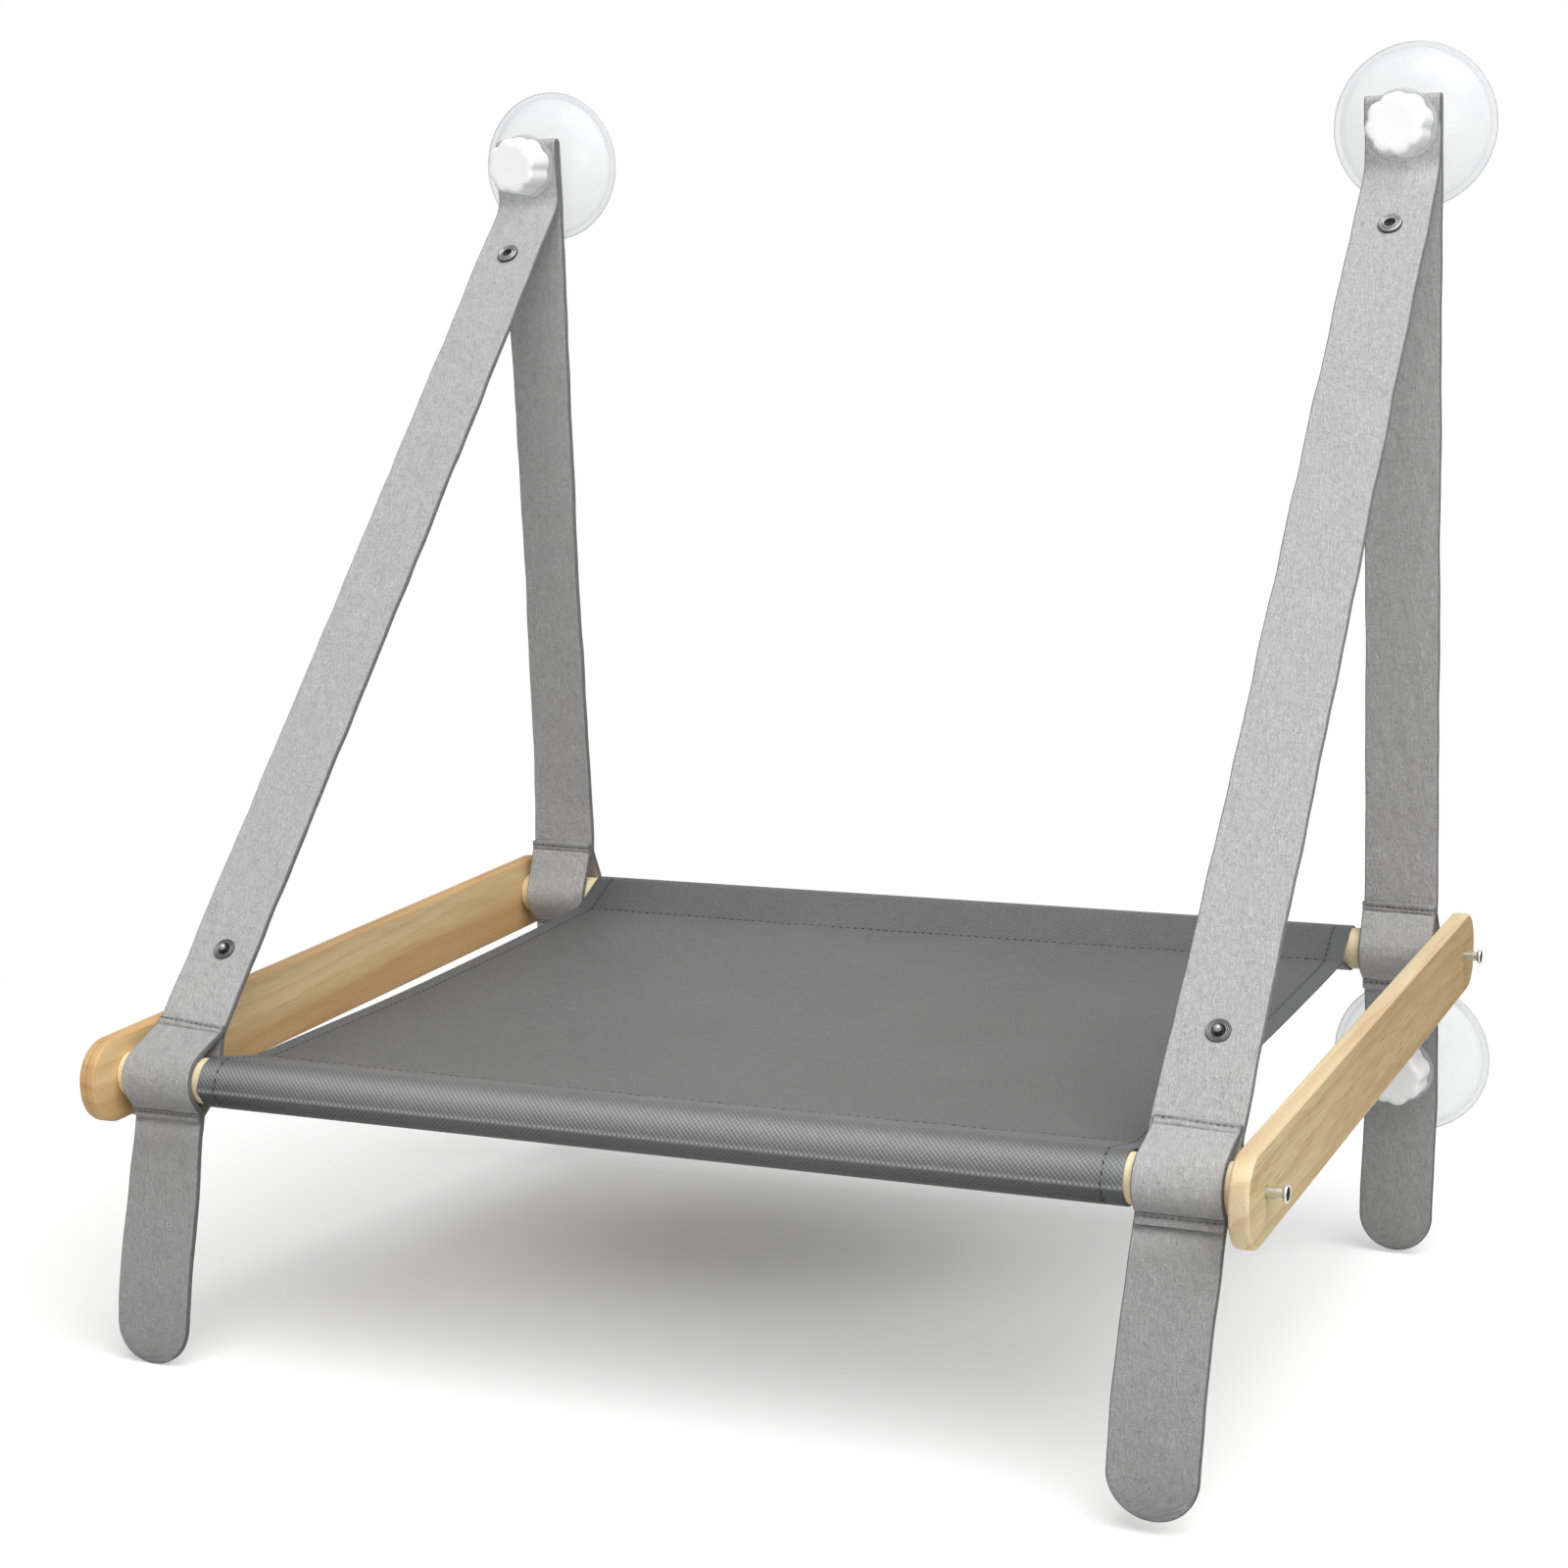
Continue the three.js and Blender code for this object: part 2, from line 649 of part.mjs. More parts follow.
// Knob: a tapered body whose outline swells into knobLobes soft lobes, closed by a rounded face. Rings
// of points run from the base at height 0 to the face at -knobHeight.
function makeKnob(boreDepth) {
  const around = knobLobes * 5;
  const sideRings = 3;
  const roundRings = 3;
  const rings = [];
  for (let i = 0; i <= sideRings; i += 1) {
    const share = i / sideRings;
    const height = (knobHeight - knobFaceRound) * share;
    const radius = knobBaseRadius + (knobFaceRadius - knobBaseRadius) * share;
    rings.push({ height, radius, lobe: knobLobeHeight });
  }
  for (let i = 1; i <= roundRings; i += 1) {
    const angle = (i / roundRings) * (Math.PI / 2);
    rings.push({
      height: knobHeight - knobFaceRound + knobFaceRound * Math.sin(angle),
      radius: knobFaceRadius - knobFaceRound + knobFaceRound * Math.cos(angle),
      lobe: knobLobeHeight * (1 - i / roundRings / 2),
    });
  }
  const positions = [0, 0, 0];
  for (const { height, radius, lobe } of rings) {
    for (let i = 0; i < around; i += 1) {
      const angle = (i / around) * 2 * Math.PI;
      const reach = radius + lobe * Math.cos(knobLobes * angle);
      positions.push(reach * Math.cos(angle), -height, reach * Math.sin(angle));
    }
  }
  positions.push(0, -knobHeight, 0);
  const index = [];
  const apex = 1 + rings.length * around;
  const lastRing = 1 + (rings.length - 1) * around;
  for (let i = 0; i < around; i += 1) {
    const next = (i + 1) % around;
    index.push(0, 1 + next, 1 + i, apex, lastRing + i, lastRing + next);
    for (let ring = 0; ring + 1 < rings.length; ring += 1) {
      const a = 1 + ring * around + i;
      const b = 1 + ring * around + next;
      index.push(a, b + around, a + around, a, b, b + around);
    }
  }
  const body = new THREE.BufferGeometry();
  body.setAttribute("position", new THREE.Float32BufferAttribute(positions, 3));
  body.setIndex(index);
  const bore = new THREE.CylinderGeometry(screwRadius + screwFit, screwRadius + screwFit, 2 * boreDepth, 16);
  return cut(body, bore);
}

// Sling: one cloth with a sleeve sewn round each dowel. Its section in the side view is extruded along
// X in steps, and each step sags by a little more toward the middle of the bed.
function makeSling() {
  const inner = dowelDiameter / 2 + touchGap;
  const outer = inner + slingThickness;
  const middle = (backDowel.x + frontDowel.x) / 2;
  const halfSpan = dowelSpacing / 2;
  const sleeveWrapShare = 0.62; // of half a turn, from the sleeve's top to where it leaves for the seam
  const insideWrapShare = 1.12;
  const seamLayerShare = 0.99; // of the way from the bed's middle to the seam
  const mouthTipShare = 1.4; // of the cloth's thickness, from its top face to the tip of the sleeve's inside
  const sagAt = (y) => slingSag * (1 - ((y - middle) / halfSpan) ** 2);
  const topAt = (y) => dowelZ + outer - sagAt(y);
  const seamInset = halfSpan - sleeveSeamDepth;
  const across = (from, to, count) =>
    Array.from({ length: count + 1 }, (_, i) => from + ((to - from) * i) / count);
  const topWay = across(frontDowel.x, backDowel.x, 16).map((y) => new THREE.Vector2(y, topAt(y)));
  const underWay = across(middle + seamInset, middle - seamInset, 12).map((y) => {
    const layers = Math.abs(y - middle) > seamInset * seamLayerShare ? 2 : 1;
    return new THREE.Vector2(y, topAt(y) - layers * slingThickness);
  });
  // A sleeve's outer and inner ways run from its top round the outside to where they leave for the seam.
  const leave = Math.PI * sleeveWrapShare;
  const backOuter = arcPoints(backDowel, outer, Math.PI / 2, -leave, 12).slice(1);
  const frontOuter = arcPoints(frontDowel, outer, -Math.PI + leave, -(3 / 2) * Math.PI, 12).slice(0, -1);
  const outline = new THREE.Shape([...topWay, ...backOuter, ...underWay, ...frontOuter].reverse());
  const hole = (axis, toMiddle) => {
    const mouth = middle - toMiddle * (seamInset + slingThickness * 2);
    const tip = new THREE.Vector2(mouth, topAt(mouth) - slingThickness * mouthTipShare);
    const ringEnd = Math.PI / 2 + toMiddle * Math.PI * insideWrapShare;
    const ring = arcPoints(axis, inner, Math.PI / 2, ringEnd, 12);
    return new THREE.Path([...ring, tip]);
  };
  outline.holes.push(hole(backDowel, -1), hole(frontDowel, 1));
  const steps = 10;
  const cloth = new THREE.ExtrudeGeometry(outline, { depth: slingWidth, steps, bevelEnabled: false });
  cloth.translate(0, 0, -slingWidth / 2);
  cloth.applyMatrix4(sideViewToWorld());
  const position = cloth.attributes.position;
  for (let i = 0; i < position.count; i += 1) {
    const acrossShare = (2 * position.getX(i)) / slingWidth;
    const alongShare = Math.min(1, Math.abs(position.getY(i) - middle) / seamInset);
    const extra = slingExtraSag * (1 - acrossShare ** 2) * (1 - alongShare ** 2);
    position.setZ(i, position.getZ(i) - extra);
  }
  return cloth;
}

// The pine frame and its bolts
for (const [side, sign] of Object.entries(sides)) {
  const boardGroup = groupAt(hammock, sign * (boardInnerX + boardThickness / 2), 0, 0);
  addMesh(boardGroup, `${side}_side_board`, makeBoard(), pine);
  for (const [place, axis] of [["back", backDowel], ["front", frontDowel]]) {
    const bolt = addMesh(hammock, `${side}_${place}_bolt`, makeBolt(), zincSteel);
    bolt.position.set((sign * boardSpan) / 2, axis.x, axis.y);
    bolt.rotation.z = (-sign * Math.PI) / 2;
    const insert = addMesh(hammock, `${side}_${place}_insert`, makeInsert(), brass);
    insert.position.set(sign * (dowelHalfLength - touchGap), axis.x, axis.y);
    insert.rotation.z = (-sign * Math.PI) / 2;
  }
}
for (const [name, axis] of [["back_dowel", backDowel], ["front_dowel", frontDowel]]) {
  const dowel = addMesh(hammock, name, makeDowel(), pine);
  dowel.position.set(0, axis.x, axis.y);
}
addMesh(hammock, "sling", makeSling(), canvasCloth);

// The felt straps with their patches and snaps
for (const [side, sign] of Object.entries(sides)) {
  const strap = groupAt(hammock, sign * strapX, 0, 0);
  const tailAngle = -Math.PI / 2 - THREE.MathUtils.degToRad(frontTailStart[side]);
  addMesh(strap, `${side}_back_strap`, makeBackStrap(side), felt);
  addMesh(strap, `${side}_back_patch`, makePatch(backDowel, Math.PI / 2, -Math.PI / 2), felt);
  const upperRun = makeStraightRun(runLength, foldAt + touchGap / 2, socketAt);
  const lowerRun = makeStraightRun(foldAt - touchGap / 2, jointAt + touchGap / 2, studAt);
  addMesh(strap, `${side}_front_strap_upper`, upperRun, felt);
  addMesh(strap, `${side}_front_strap_lower`, lowerRun, felt);
  addMesh(strap, `${side}_front_strap_loop`, makeFrontLoop(side), felt);
  addMesh(strap, `${side}_front_patch`, makePatch(frontDowel, runAngle, tailAngle), felt);
  const snaps = [
    ["socket", socketAt, makeSnapSocket],
    ["stud", studAt, makeSnapStud],
  ];
  for (const [snap, distance, makeSnap] of snaps) {
    const face = onRun(distance, runMiddle + feltThickness / 2);
    const snapGroup = groupAt(strap, 0, face.x, face.y);
    snapGroup.rotation.x = runAngle + Math.PI / 2;
    const front = addMesh(snapGroup, `${side}_snap_${snap}`, makeSnap(), gunmetal);
    front.position.y = touchGap;
    addMesh(snapGroup, `${side}_snap_${snap}_cap`, makeSnapCap(), gunmetal).position.y = touchGap;
  }
}

// The suction cups with their screws, washers and knobs
for (const [side, sign] of Object.entries(sides)) {
  for (const [level, height, layers] of [["upper", 0, 2], ["lower", lowerCupZ, 1]]) {
    const cup = groupAt(hammock, sign * strapX, 0, height);
    const feltFace = -cupHeight - touchGap - layers * feltThickness - (layers - 1) * touchGap;
    const washerRear = feltFace - touchGap;
    const knobRear = washerRear - washerThickness - touchGap;
    const boreDepth = knobRear + screwFlangeFromGlass + screwLength + knobCapWall / 2;
    addMesh(cup, `${side}_${level}_suction_cup`, makeCup(), clearVinyl);
    addMesh(cup, `${side}_${level}_screw`, makeScrew(), zincSteel);
    addMesh(cup, `${side}_${level}_washer`, makeWasher(), clearVinyl).position.y = washerRear;
    addMesh(cup, `${side}_${level}_knob`, makeKnob(boreDepth), whitePlastic).position.y = knobRear;
  }
}

export default hammock;
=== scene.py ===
import math

import bmesh
import bpy
import numpy as np
from mathutils import Matrix


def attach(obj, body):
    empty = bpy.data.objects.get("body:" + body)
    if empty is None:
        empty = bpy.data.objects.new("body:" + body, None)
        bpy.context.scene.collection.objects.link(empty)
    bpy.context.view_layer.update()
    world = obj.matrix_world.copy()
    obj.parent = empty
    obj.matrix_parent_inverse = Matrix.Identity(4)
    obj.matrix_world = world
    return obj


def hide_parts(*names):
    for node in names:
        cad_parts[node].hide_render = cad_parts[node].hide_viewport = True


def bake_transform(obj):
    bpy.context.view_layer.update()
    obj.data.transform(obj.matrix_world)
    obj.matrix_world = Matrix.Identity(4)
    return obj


# Cat window hammock: two felt straps, a pine frame and a woven sling, hung from four suction cups.
# Shapes are worked out in millimetres, with X along the window, Y into the glass and Z up,
# and become metres when their mesh is made.
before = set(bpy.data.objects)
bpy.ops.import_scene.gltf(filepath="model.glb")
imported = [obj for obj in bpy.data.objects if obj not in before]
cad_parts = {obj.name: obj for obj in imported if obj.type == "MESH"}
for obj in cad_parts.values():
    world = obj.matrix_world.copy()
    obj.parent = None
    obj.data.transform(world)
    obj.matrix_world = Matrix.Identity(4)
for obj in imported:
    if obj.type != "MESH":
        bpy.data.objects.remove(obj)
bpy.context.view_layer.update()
mm = 0.001
print("frame loaded:", len(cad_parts), "nodes")

camera = {
    "eye": (0.587715, -1.540415, -0.035190),
    "right": (0.91124909, 0.41017667, -0.03715089),
    "up": (-0.04500329, 0.18882941, 0.98097816),
    "lens": 66.815,
    "sensor": 36,
    "clip": (0.05, 60),
}


def addObject(name, data):
    made = bpy.data.objects.new(name, data)
    bpy.context.scene.collection.objects.link(made)
    return made


def turnedTo(right, up, place):  # the matrix of an object whose X and Y axes point right and up
    turned = np.eye(4)
    turned[:3, :3] = np.stack([right, up, np.cross(right, up)], axis=1)
    turned[:3, 3] = place
    return Matrix(turned.tolist())


def makeCamera():  # the photograph's own view
    lens = bpy.data.cameras.new("camera")
    lens.lens = camera["lens"]
    lens.sensor_width = camera["sensor"]
    lens.clip_start, lens.clip_end = camera["clip"]
    seen = addObject("camera", lens)
    seen.matrix_world = turnedTo(camera["right"], camera["up"], camera["eye"])
    bpy.context.scene.camera = seen


makeCamera()


# Materials

class Wire:  # a socket of a material; sums written with it become Math nodes
    def __init__(self, tree, socket=None):
        self.tree = tree
        self.socket = socket

    def node(self, kind, settings=None, sockets=None, out=0):
        made = self.tree.nodes.new("ShaderNode" + kind)
        for name, value in (settings or {}).items():
            setattr(made, name, value)
        for name, value in (sockets or {}).items():
            if isinstance(value, Wire):
                self.tree.links.new(value.socket, made.inputs[name])
            else:
                made.inputs[name].default_value = value
        return Wire(self.tree, made.outputs[out] if len(made.outputs) else None)

    def beside(self, output):  # another output of the same node
        return Wire(self.tree, self.socket.node.outputs[output])

    def worked(self, operation, a, b=0.0):
        return self.node("Math", {"operation": operation}, {0: a, 1: b})

    def __add__(self, other):
        return self.worked("ADD", self, other)

    def __sub__(self, other):
        return self.worked("SUBTRACT", self, other)

    def __rsub__(self, other):
        return self.worked("SUBTRACT", other, self)

    def __mul__(self, other):
        return self.worked("MULTIPLY", self, other)

    __radd__ = __add__
    __rmul__ = __mul__

    def sine(self):
        return self.worked("SINE", self)

    def power(self, exponent):
        return self.worked("POWER", self, exponent)

    def root(self):
        return self.worked("SQRT", self)

    def fraction(self):
        return self.worked("FRACT", self)

    def rising(self, low, high):  # 0 below low, 1 above high, smooth between them
        return self.node("MapRange", {"interpolation_type": "SMOOTHSTEP"},
                         {"Value": self, "From Min": low, "From Max": high})

    def colours(self, first, second):  # first where this is 0, second where it is 1
        return self.node("Mix", {"data_type": "RGBA"}, {0: self, 6: first, 7: second}, out=2)

    def noise(self, scale, detail=2.0, roughness=0.5, distortion=0.0):
        return self.node("TexNoise", None, {"Vector": self, "Scale": scale, "Detail": detail,
                                            "Roughness": roughness, "Distortion": distortion})

    def stretched(self, scale, rotation=(0, 0, 0)):
        return self.node("Mapping", None, {"Vector": self, "Rotation": rotation, "Scale": scale})

    def parts(self):  # the three numbers of a vector
        split = self.node("SeparateXYZ", None, {0: self})
        return [split.beside(number) for number in range(3)]

    def attribute(self, name):
        return self.node("Attribute", {"attribute_name": name}, out=2)

    def clothPlace(self):  # across and along the cloth, in metres
        return self.node("UVMap", {"uv_map": "cloth"})

    def place(self):
        return self.node("TexCoord", out=3)

    def bump(self, height, distance, strength=1.0):
        return self.node("Bump", None, {"Height": height, "Distance": distance, "Strength": strength})


def makeMaterial(name, fixed, varying):
    # fixed values stand on the shader's own sockets, and varying gives the wires of the others
    made = bpy.data.materials.new(name)
    made.use_nodes = True
    tree = made.node_tree
    shader = tree.nodes["Principled BSDF"]
    for socket, value in fixed.items():
        shader.inputs[socket].default_value = value
    for socket, value in varying(Wire(tree)).items():
        tree.links.new(value.socket, shader.inputs[socket])
    return made


def plain(level, share=1.0):  # a colour as it is written in the photograph's own scale, 0 to 255
    values = np.broadcast_to(level, 3) / 255
    linear = np.where(values <= 0.04045, values / 12.92, ((values + 0.055) / 1.055) ** 2.4)
    return (*np.minimum(linear * share, 1.0).tolist(), 1.0)


def recolour(node, look):  # a solid that shows as it is
    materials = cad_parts[node].data.materials
    materials.clear()
    materials.append(look)


# Meshes

roundSteps = 96  # points round a turned piece
mergeDistance, thinnest = 2e-6, 1e-7  # in metres


def gridFaces(rows, columns, wrap=False):
    # four corners for each cell of a grid; wrap joins the last column to the first
    row = np.arange(rows - 1)[:, None] * columns
    column = np.arange(columns if wrap else columns - 1)[None, :]
    after = (column + 1) % columns
    cell = np.stack([row + column, row + after, row + columns + after, row + columns + column], axis=-1)
    return cell.reshape(-1, 4)


def makePiece(name, points, faces, materials, cloth=None, marks=None, sharp=40.0):
    # points in millimetres; cloth holds one place on the cloth for each corner of each face
    mesh = bpy.data.meshes.new(name)
    mesh.from_pydata((np.asarray(points, float).reshape(-1, 3) * mm).tolist(), [], faces)
    if cloth is not None:
        layer = mesh.uv_layers.new(name="cloth")
        layer.data.foreach_set("uv", np.asarray(cloth, np.float32).ravel())
    for mark, values in (marks or {}).items():
        made = mesh.attributes.new(mark, "FLOAT", "POINT")
        made.data.foreach_set("value", np.asarray(values, np.float32).ravel())
    whole = bmesh.new()
    whole.from_mesh(mesh)
    bmesh.ops.remove_doubles(whole, verts=whole.verts, dist=mergeDistance)
    bmesh.ops.dissolve_degenerate(whole, edges=whole.edges, dist=thinnest)
    if whole.calc_volume(signed=True) < 0:
        bmesh.ops.reverse_faces(whole, faces=whole.faces)
    openEdges = sum(1 for edge in whole.edges if not edge.is_manifold)
    if openEdges:
        print("  open edges in", name, openEdges)
    whole.to_mesh(mesh)
    whole.free()
    mesh.shade_smooth()
    mesh.set_sharp_from_angle(angle=math.radians(sharp))
    for made in materials:
        mesh.materials.append(made)
    return addObject(name, mesh)


def fit(piece, body, slot, *replaced):  # its body, the solids that it stands for, and a material slot that is not used
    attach(piece, body)
    if replaced:
        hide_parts(*replaced)
    return piece


def softened(corners, rounds, steps=4):
    # a profile whose inner corners are replaced by short curves, each from one cut to the next
    corners = np.asarray(corners, float)
    middle = corners[1:-1]
    cuts = np.broadcast_to(np.asarray(rounds, float), len(middle))[:, None]
    back, ahead = corners[:-2] - middle, corners[2:] - middle
    first = middle + back * (cuts / np.linalg.norm(back, axis=1, keepdims=True))
    last = middle + ahead * (cuts / np.linalg.norm(ahead, axis=1, keepdims=True))
    share = np.linspace(0, 1, steps + 1)[None, :, None]
    curve = ((1 - share) ** 2 * first[:, None] + 2 * share * (1 - share) * middle[:, None]
             + share**2 * last[:, None])
    return np.concatenate([corners[:1], curve.reshape(-1, 2), corners[-1:]])


def revolved(name, rings, origin, axis, materials, sharp=40.0, phase=0.0, dense=None, reach=None):
    # Rings about an axis that lies along X or square to it, each with its distance from the axis and
    # its height along it. reach gives the distances at each angle where rings aren't round.
    rings = np.asarray(rings, float)
    if reach is None:
        reach = np.repeat(rings[:, :1], roundSteps, axis=1)
    around = reach.shape[1]
    angle = phase + np.arange(around) * 2 * np.pi / around
    axis = np.asarray(axis, float)
    across = np.cross(axis, (1.0, 0, 0) if abs(axis[0]) < 0.9 else (0, 1.0, 0))
    ring = np.cos(angle)[:, None] * across + np.sin(angle)[:, None] * np.cross(axis, across)
    points = np.asarray(origin, float) + rings[:, 1, None, None] * axis + reach[..., None] * ring
    marks = None if dense is None else {"dense": np.repeat(dense, around)}
    return makePiece(name, points, gridFaces(len(rings), around, wrap=True).tolist(), materials,
                     marks=marks, sharp=sharp)


def paint(piece, origin, axis, choose):
    # a material number for each face, chosen by its distance from an axis and its height along it
    centres = np.array([patch.center for patch in piece.data.polygons]) / mm - origin
    high = centres @ np.asarray(axis, float)
    reach = np.linalg.norm(centres - high[:, None] * axis, axis=1)
    piece.data.polygons.foreach_set("material_index", choose(reach, high).astype(np.int32))


def bell(distance, width):  # 1 at no distance, and falling away to both sides
    return np.exp(-(distance / width) ** 2)


def quarter(steps):  # the angles of a quarter turn, without its start
    return np.linspace(0, np.pi / 2, steps + 1)[1:]


def smoothNoise(x, y, seed, size):
    # a sum of six slow waves in drawn directions, about 1 high and size millimetres long
    drawn = np.random.default_rng(seed)
    turn, phase = drawn.uniform(0, 2 * np.pi, (2, 6))
    rate = 2 * np.pi / (size * drawn.uniform(0.6, 1.6, 6))
    waves = [np.sin(r * (x * np.cos(t) + y * np.sin(t)) + p) for r, t, p in zip(rate, turn, phase)]
    return sum(waves) / 2.5


# The hammock's own places, as the solids have them

sides = {"left": -1, "right": 1}
places = {
    "dowelZ": -432.7,
    "backY": -29.6,
    "frontY": -429.6,
    "boardInnerX": 279.0,
    "strapX": 254.0,
    "lowerCupZ": -498.7,
}
dowelZ, lowerCupZ = places["dowelZ"], places["lowerCupZ"]
backDowel = np.array([places["backY"], dowelZ])
frontDowel = np.array([places["frontY"], dowelZ])
dowelAxes = {"back": backDowel, "front": frontDowel}
middleY = (backDowel[0] + frontDowel[0]) / 2


# Wood

wood = {
    "ringsPerMetre": 92.0,
    "heartTone": (190, 136, 72),
    "heartFrom": -0.444,
    "heartTo": -0.428,
    "rimGrain": (196, 138, 86),
}
# Each wood piece has its own colours, partly its own tone and partly painted light: the left board's faces
# and the dowels are lighter to make up for the shade they stand in, each rim differs from its faces partly as
# edge grain and partly as painted light, and the rear share is painted shade on the right board toward its
# back end
pine = {
    "right": {"face": ((228, 207, 156), (170, 134, 80)), "rim": (249, 228, 186), "rimLine": 0.0,
              "flecks": 0.42, "warmth": 0.2, "rings": 0.24, "ringTone": (184, 142, 88), "heart": 0.0,
              "rearShade": 0.55, "pith": (0.30, -0.46)},
    "left": {"face": ((250, 224, 172), (208, 162, 100)), "rim": (228, 189, 134), "rimLine": 0.3,
             "flecks": 0.14, "warmth": 0.24, "rings": 0.1, "ringTone": (204, 150, 86), "heart": 0.58,
             "rearShade": 0.0, "pith": (-0.30, -0.50)},
    "dowel": {"face": ((255, 241, 204), (252, 220, 172)), "rim": (255, 241, 204), "rimLine": 0.0,
              "flecks": 0.1, "warmth": 0.05, "rings": 0.04, "ringTone": (204, 150, 86), "heart": 0.0,
              "rearShade": 0.0},
}


def woodLook(name, kind, lengthwise, pith, middleX=0.0):
    # pine: soft yearly rings about a far pith line, long streaks, faint short flecks and fine threads,
    # heartwood along the lower half where the board has it, painted shade toward the back end, and rim
    # colours partly painted light
    look = pine[kind]

    def varying(wire):
        place = wire.place()
        x, y, z = place.parts()
        along, across = (y, x) if lengthwise == "y" else (x, y)

        def grain(scale, longer, detail=2.0):
            size = (1, 1 / longer, 1) if lengthwise == "y" else (1 / longer, 1, 1)
            return place.stretched(size).noise(scale, detail, 0.55, 0.3)

        slow = grain(9.0, 5.0) - 0.5
        a, b = across - pith[0] + slow * 0.03, z - pith[1] + slow * 0.05 + along * 0.01
        ring = ((a * a + b * b).root() * wood["ringsPerMetre"] + grain(60.0, 9.0) * 0.9).fraction()
        late = ring.rising(0.35, 0.93) * (1 - ring.rising(0.93, 1.0))
        streak = grain(75.0, 10.0, 3.0).rising(0.44, 0.68)
        fleck = grain(1250.0, 22.0).rising(0.5, 0.66) * grain(40.0, 5.0).rising(0.44, 0.62)
        threads = grain(1000.0, 30.0, 3.0)
        depth = late * 0.1 + streak * 0.22 + fleck * look["flecks"] + (threads - 0.5) * 0.7 + 0.08
        # painted shade: darker toward the board's back end
        depth = depth + along.rising(-0.5, 0.0) * look["rearShade"]
        faced = depth.colours(*map(plain, look["face"]))
        warm = (grain(30.0, 6.0).rising(0.42, 0.64) * look["warmth"]
                + (late + grain(140.0, 14.0).rising(0.52, 0.66)) * look["rings"])
        faced = warm.colours(faced, plain(look["ringTone"]))
        lower = 1 - (z + slow * 0.03).rising(wood["heartFrom"], wood["heartTo"])
        faced = (lower * look["heart"]).colours(faced, plain(wood["heartTone"]))
        specks = place.noise(900.0, 3.0, 0.7)
        offLine = x - middleX + grain(26.0, 2.0) * 0.0016 - 0.0008
        line = 1 - (offLine * offLine).root().rising(0.0002, 0.0012)
        grained = specks.rising(0.5, 0.75) * 0.34 + late * 0.26 + streak * 0.16 + line * look["rimLine"]
        rimmed = grained.colours(plain(look["rim"]), plain(wood["rimGrain"]))
        # the rim's colours, partly edge grain and partly painted light
        return {"Base Color": wire.attribute("rim").colours(faced, rimmed), "Roughness": threads * 0.2 + 0.48,
                "Normal": wire.bump(threads * 0.7 + late * 0.4 - fleck * 0.5, 0.0002, 0.4)}

    return makeMaterial(name, {"Specular IOR Level": 0.35}, varying)


board = {
    "thickness": 9.0,
    "height": 41.2,
    "lower": 0.5,
    "overhang": {"left": 28.6, "right": 27.5},
    "corner": {"left": 19.4, "right": 17.5},
    "edgeRound": 1.7,
    "holeRadius": 2.9,
    "straightSteps": 44,
    "cornerSteps": 12,
    "faceRows": 9,
    "faceSpread": 1.3,  # above 1 the rows lie closer together at the hole
    "edgeRows": 5,
    "jointPoints": 7,
}


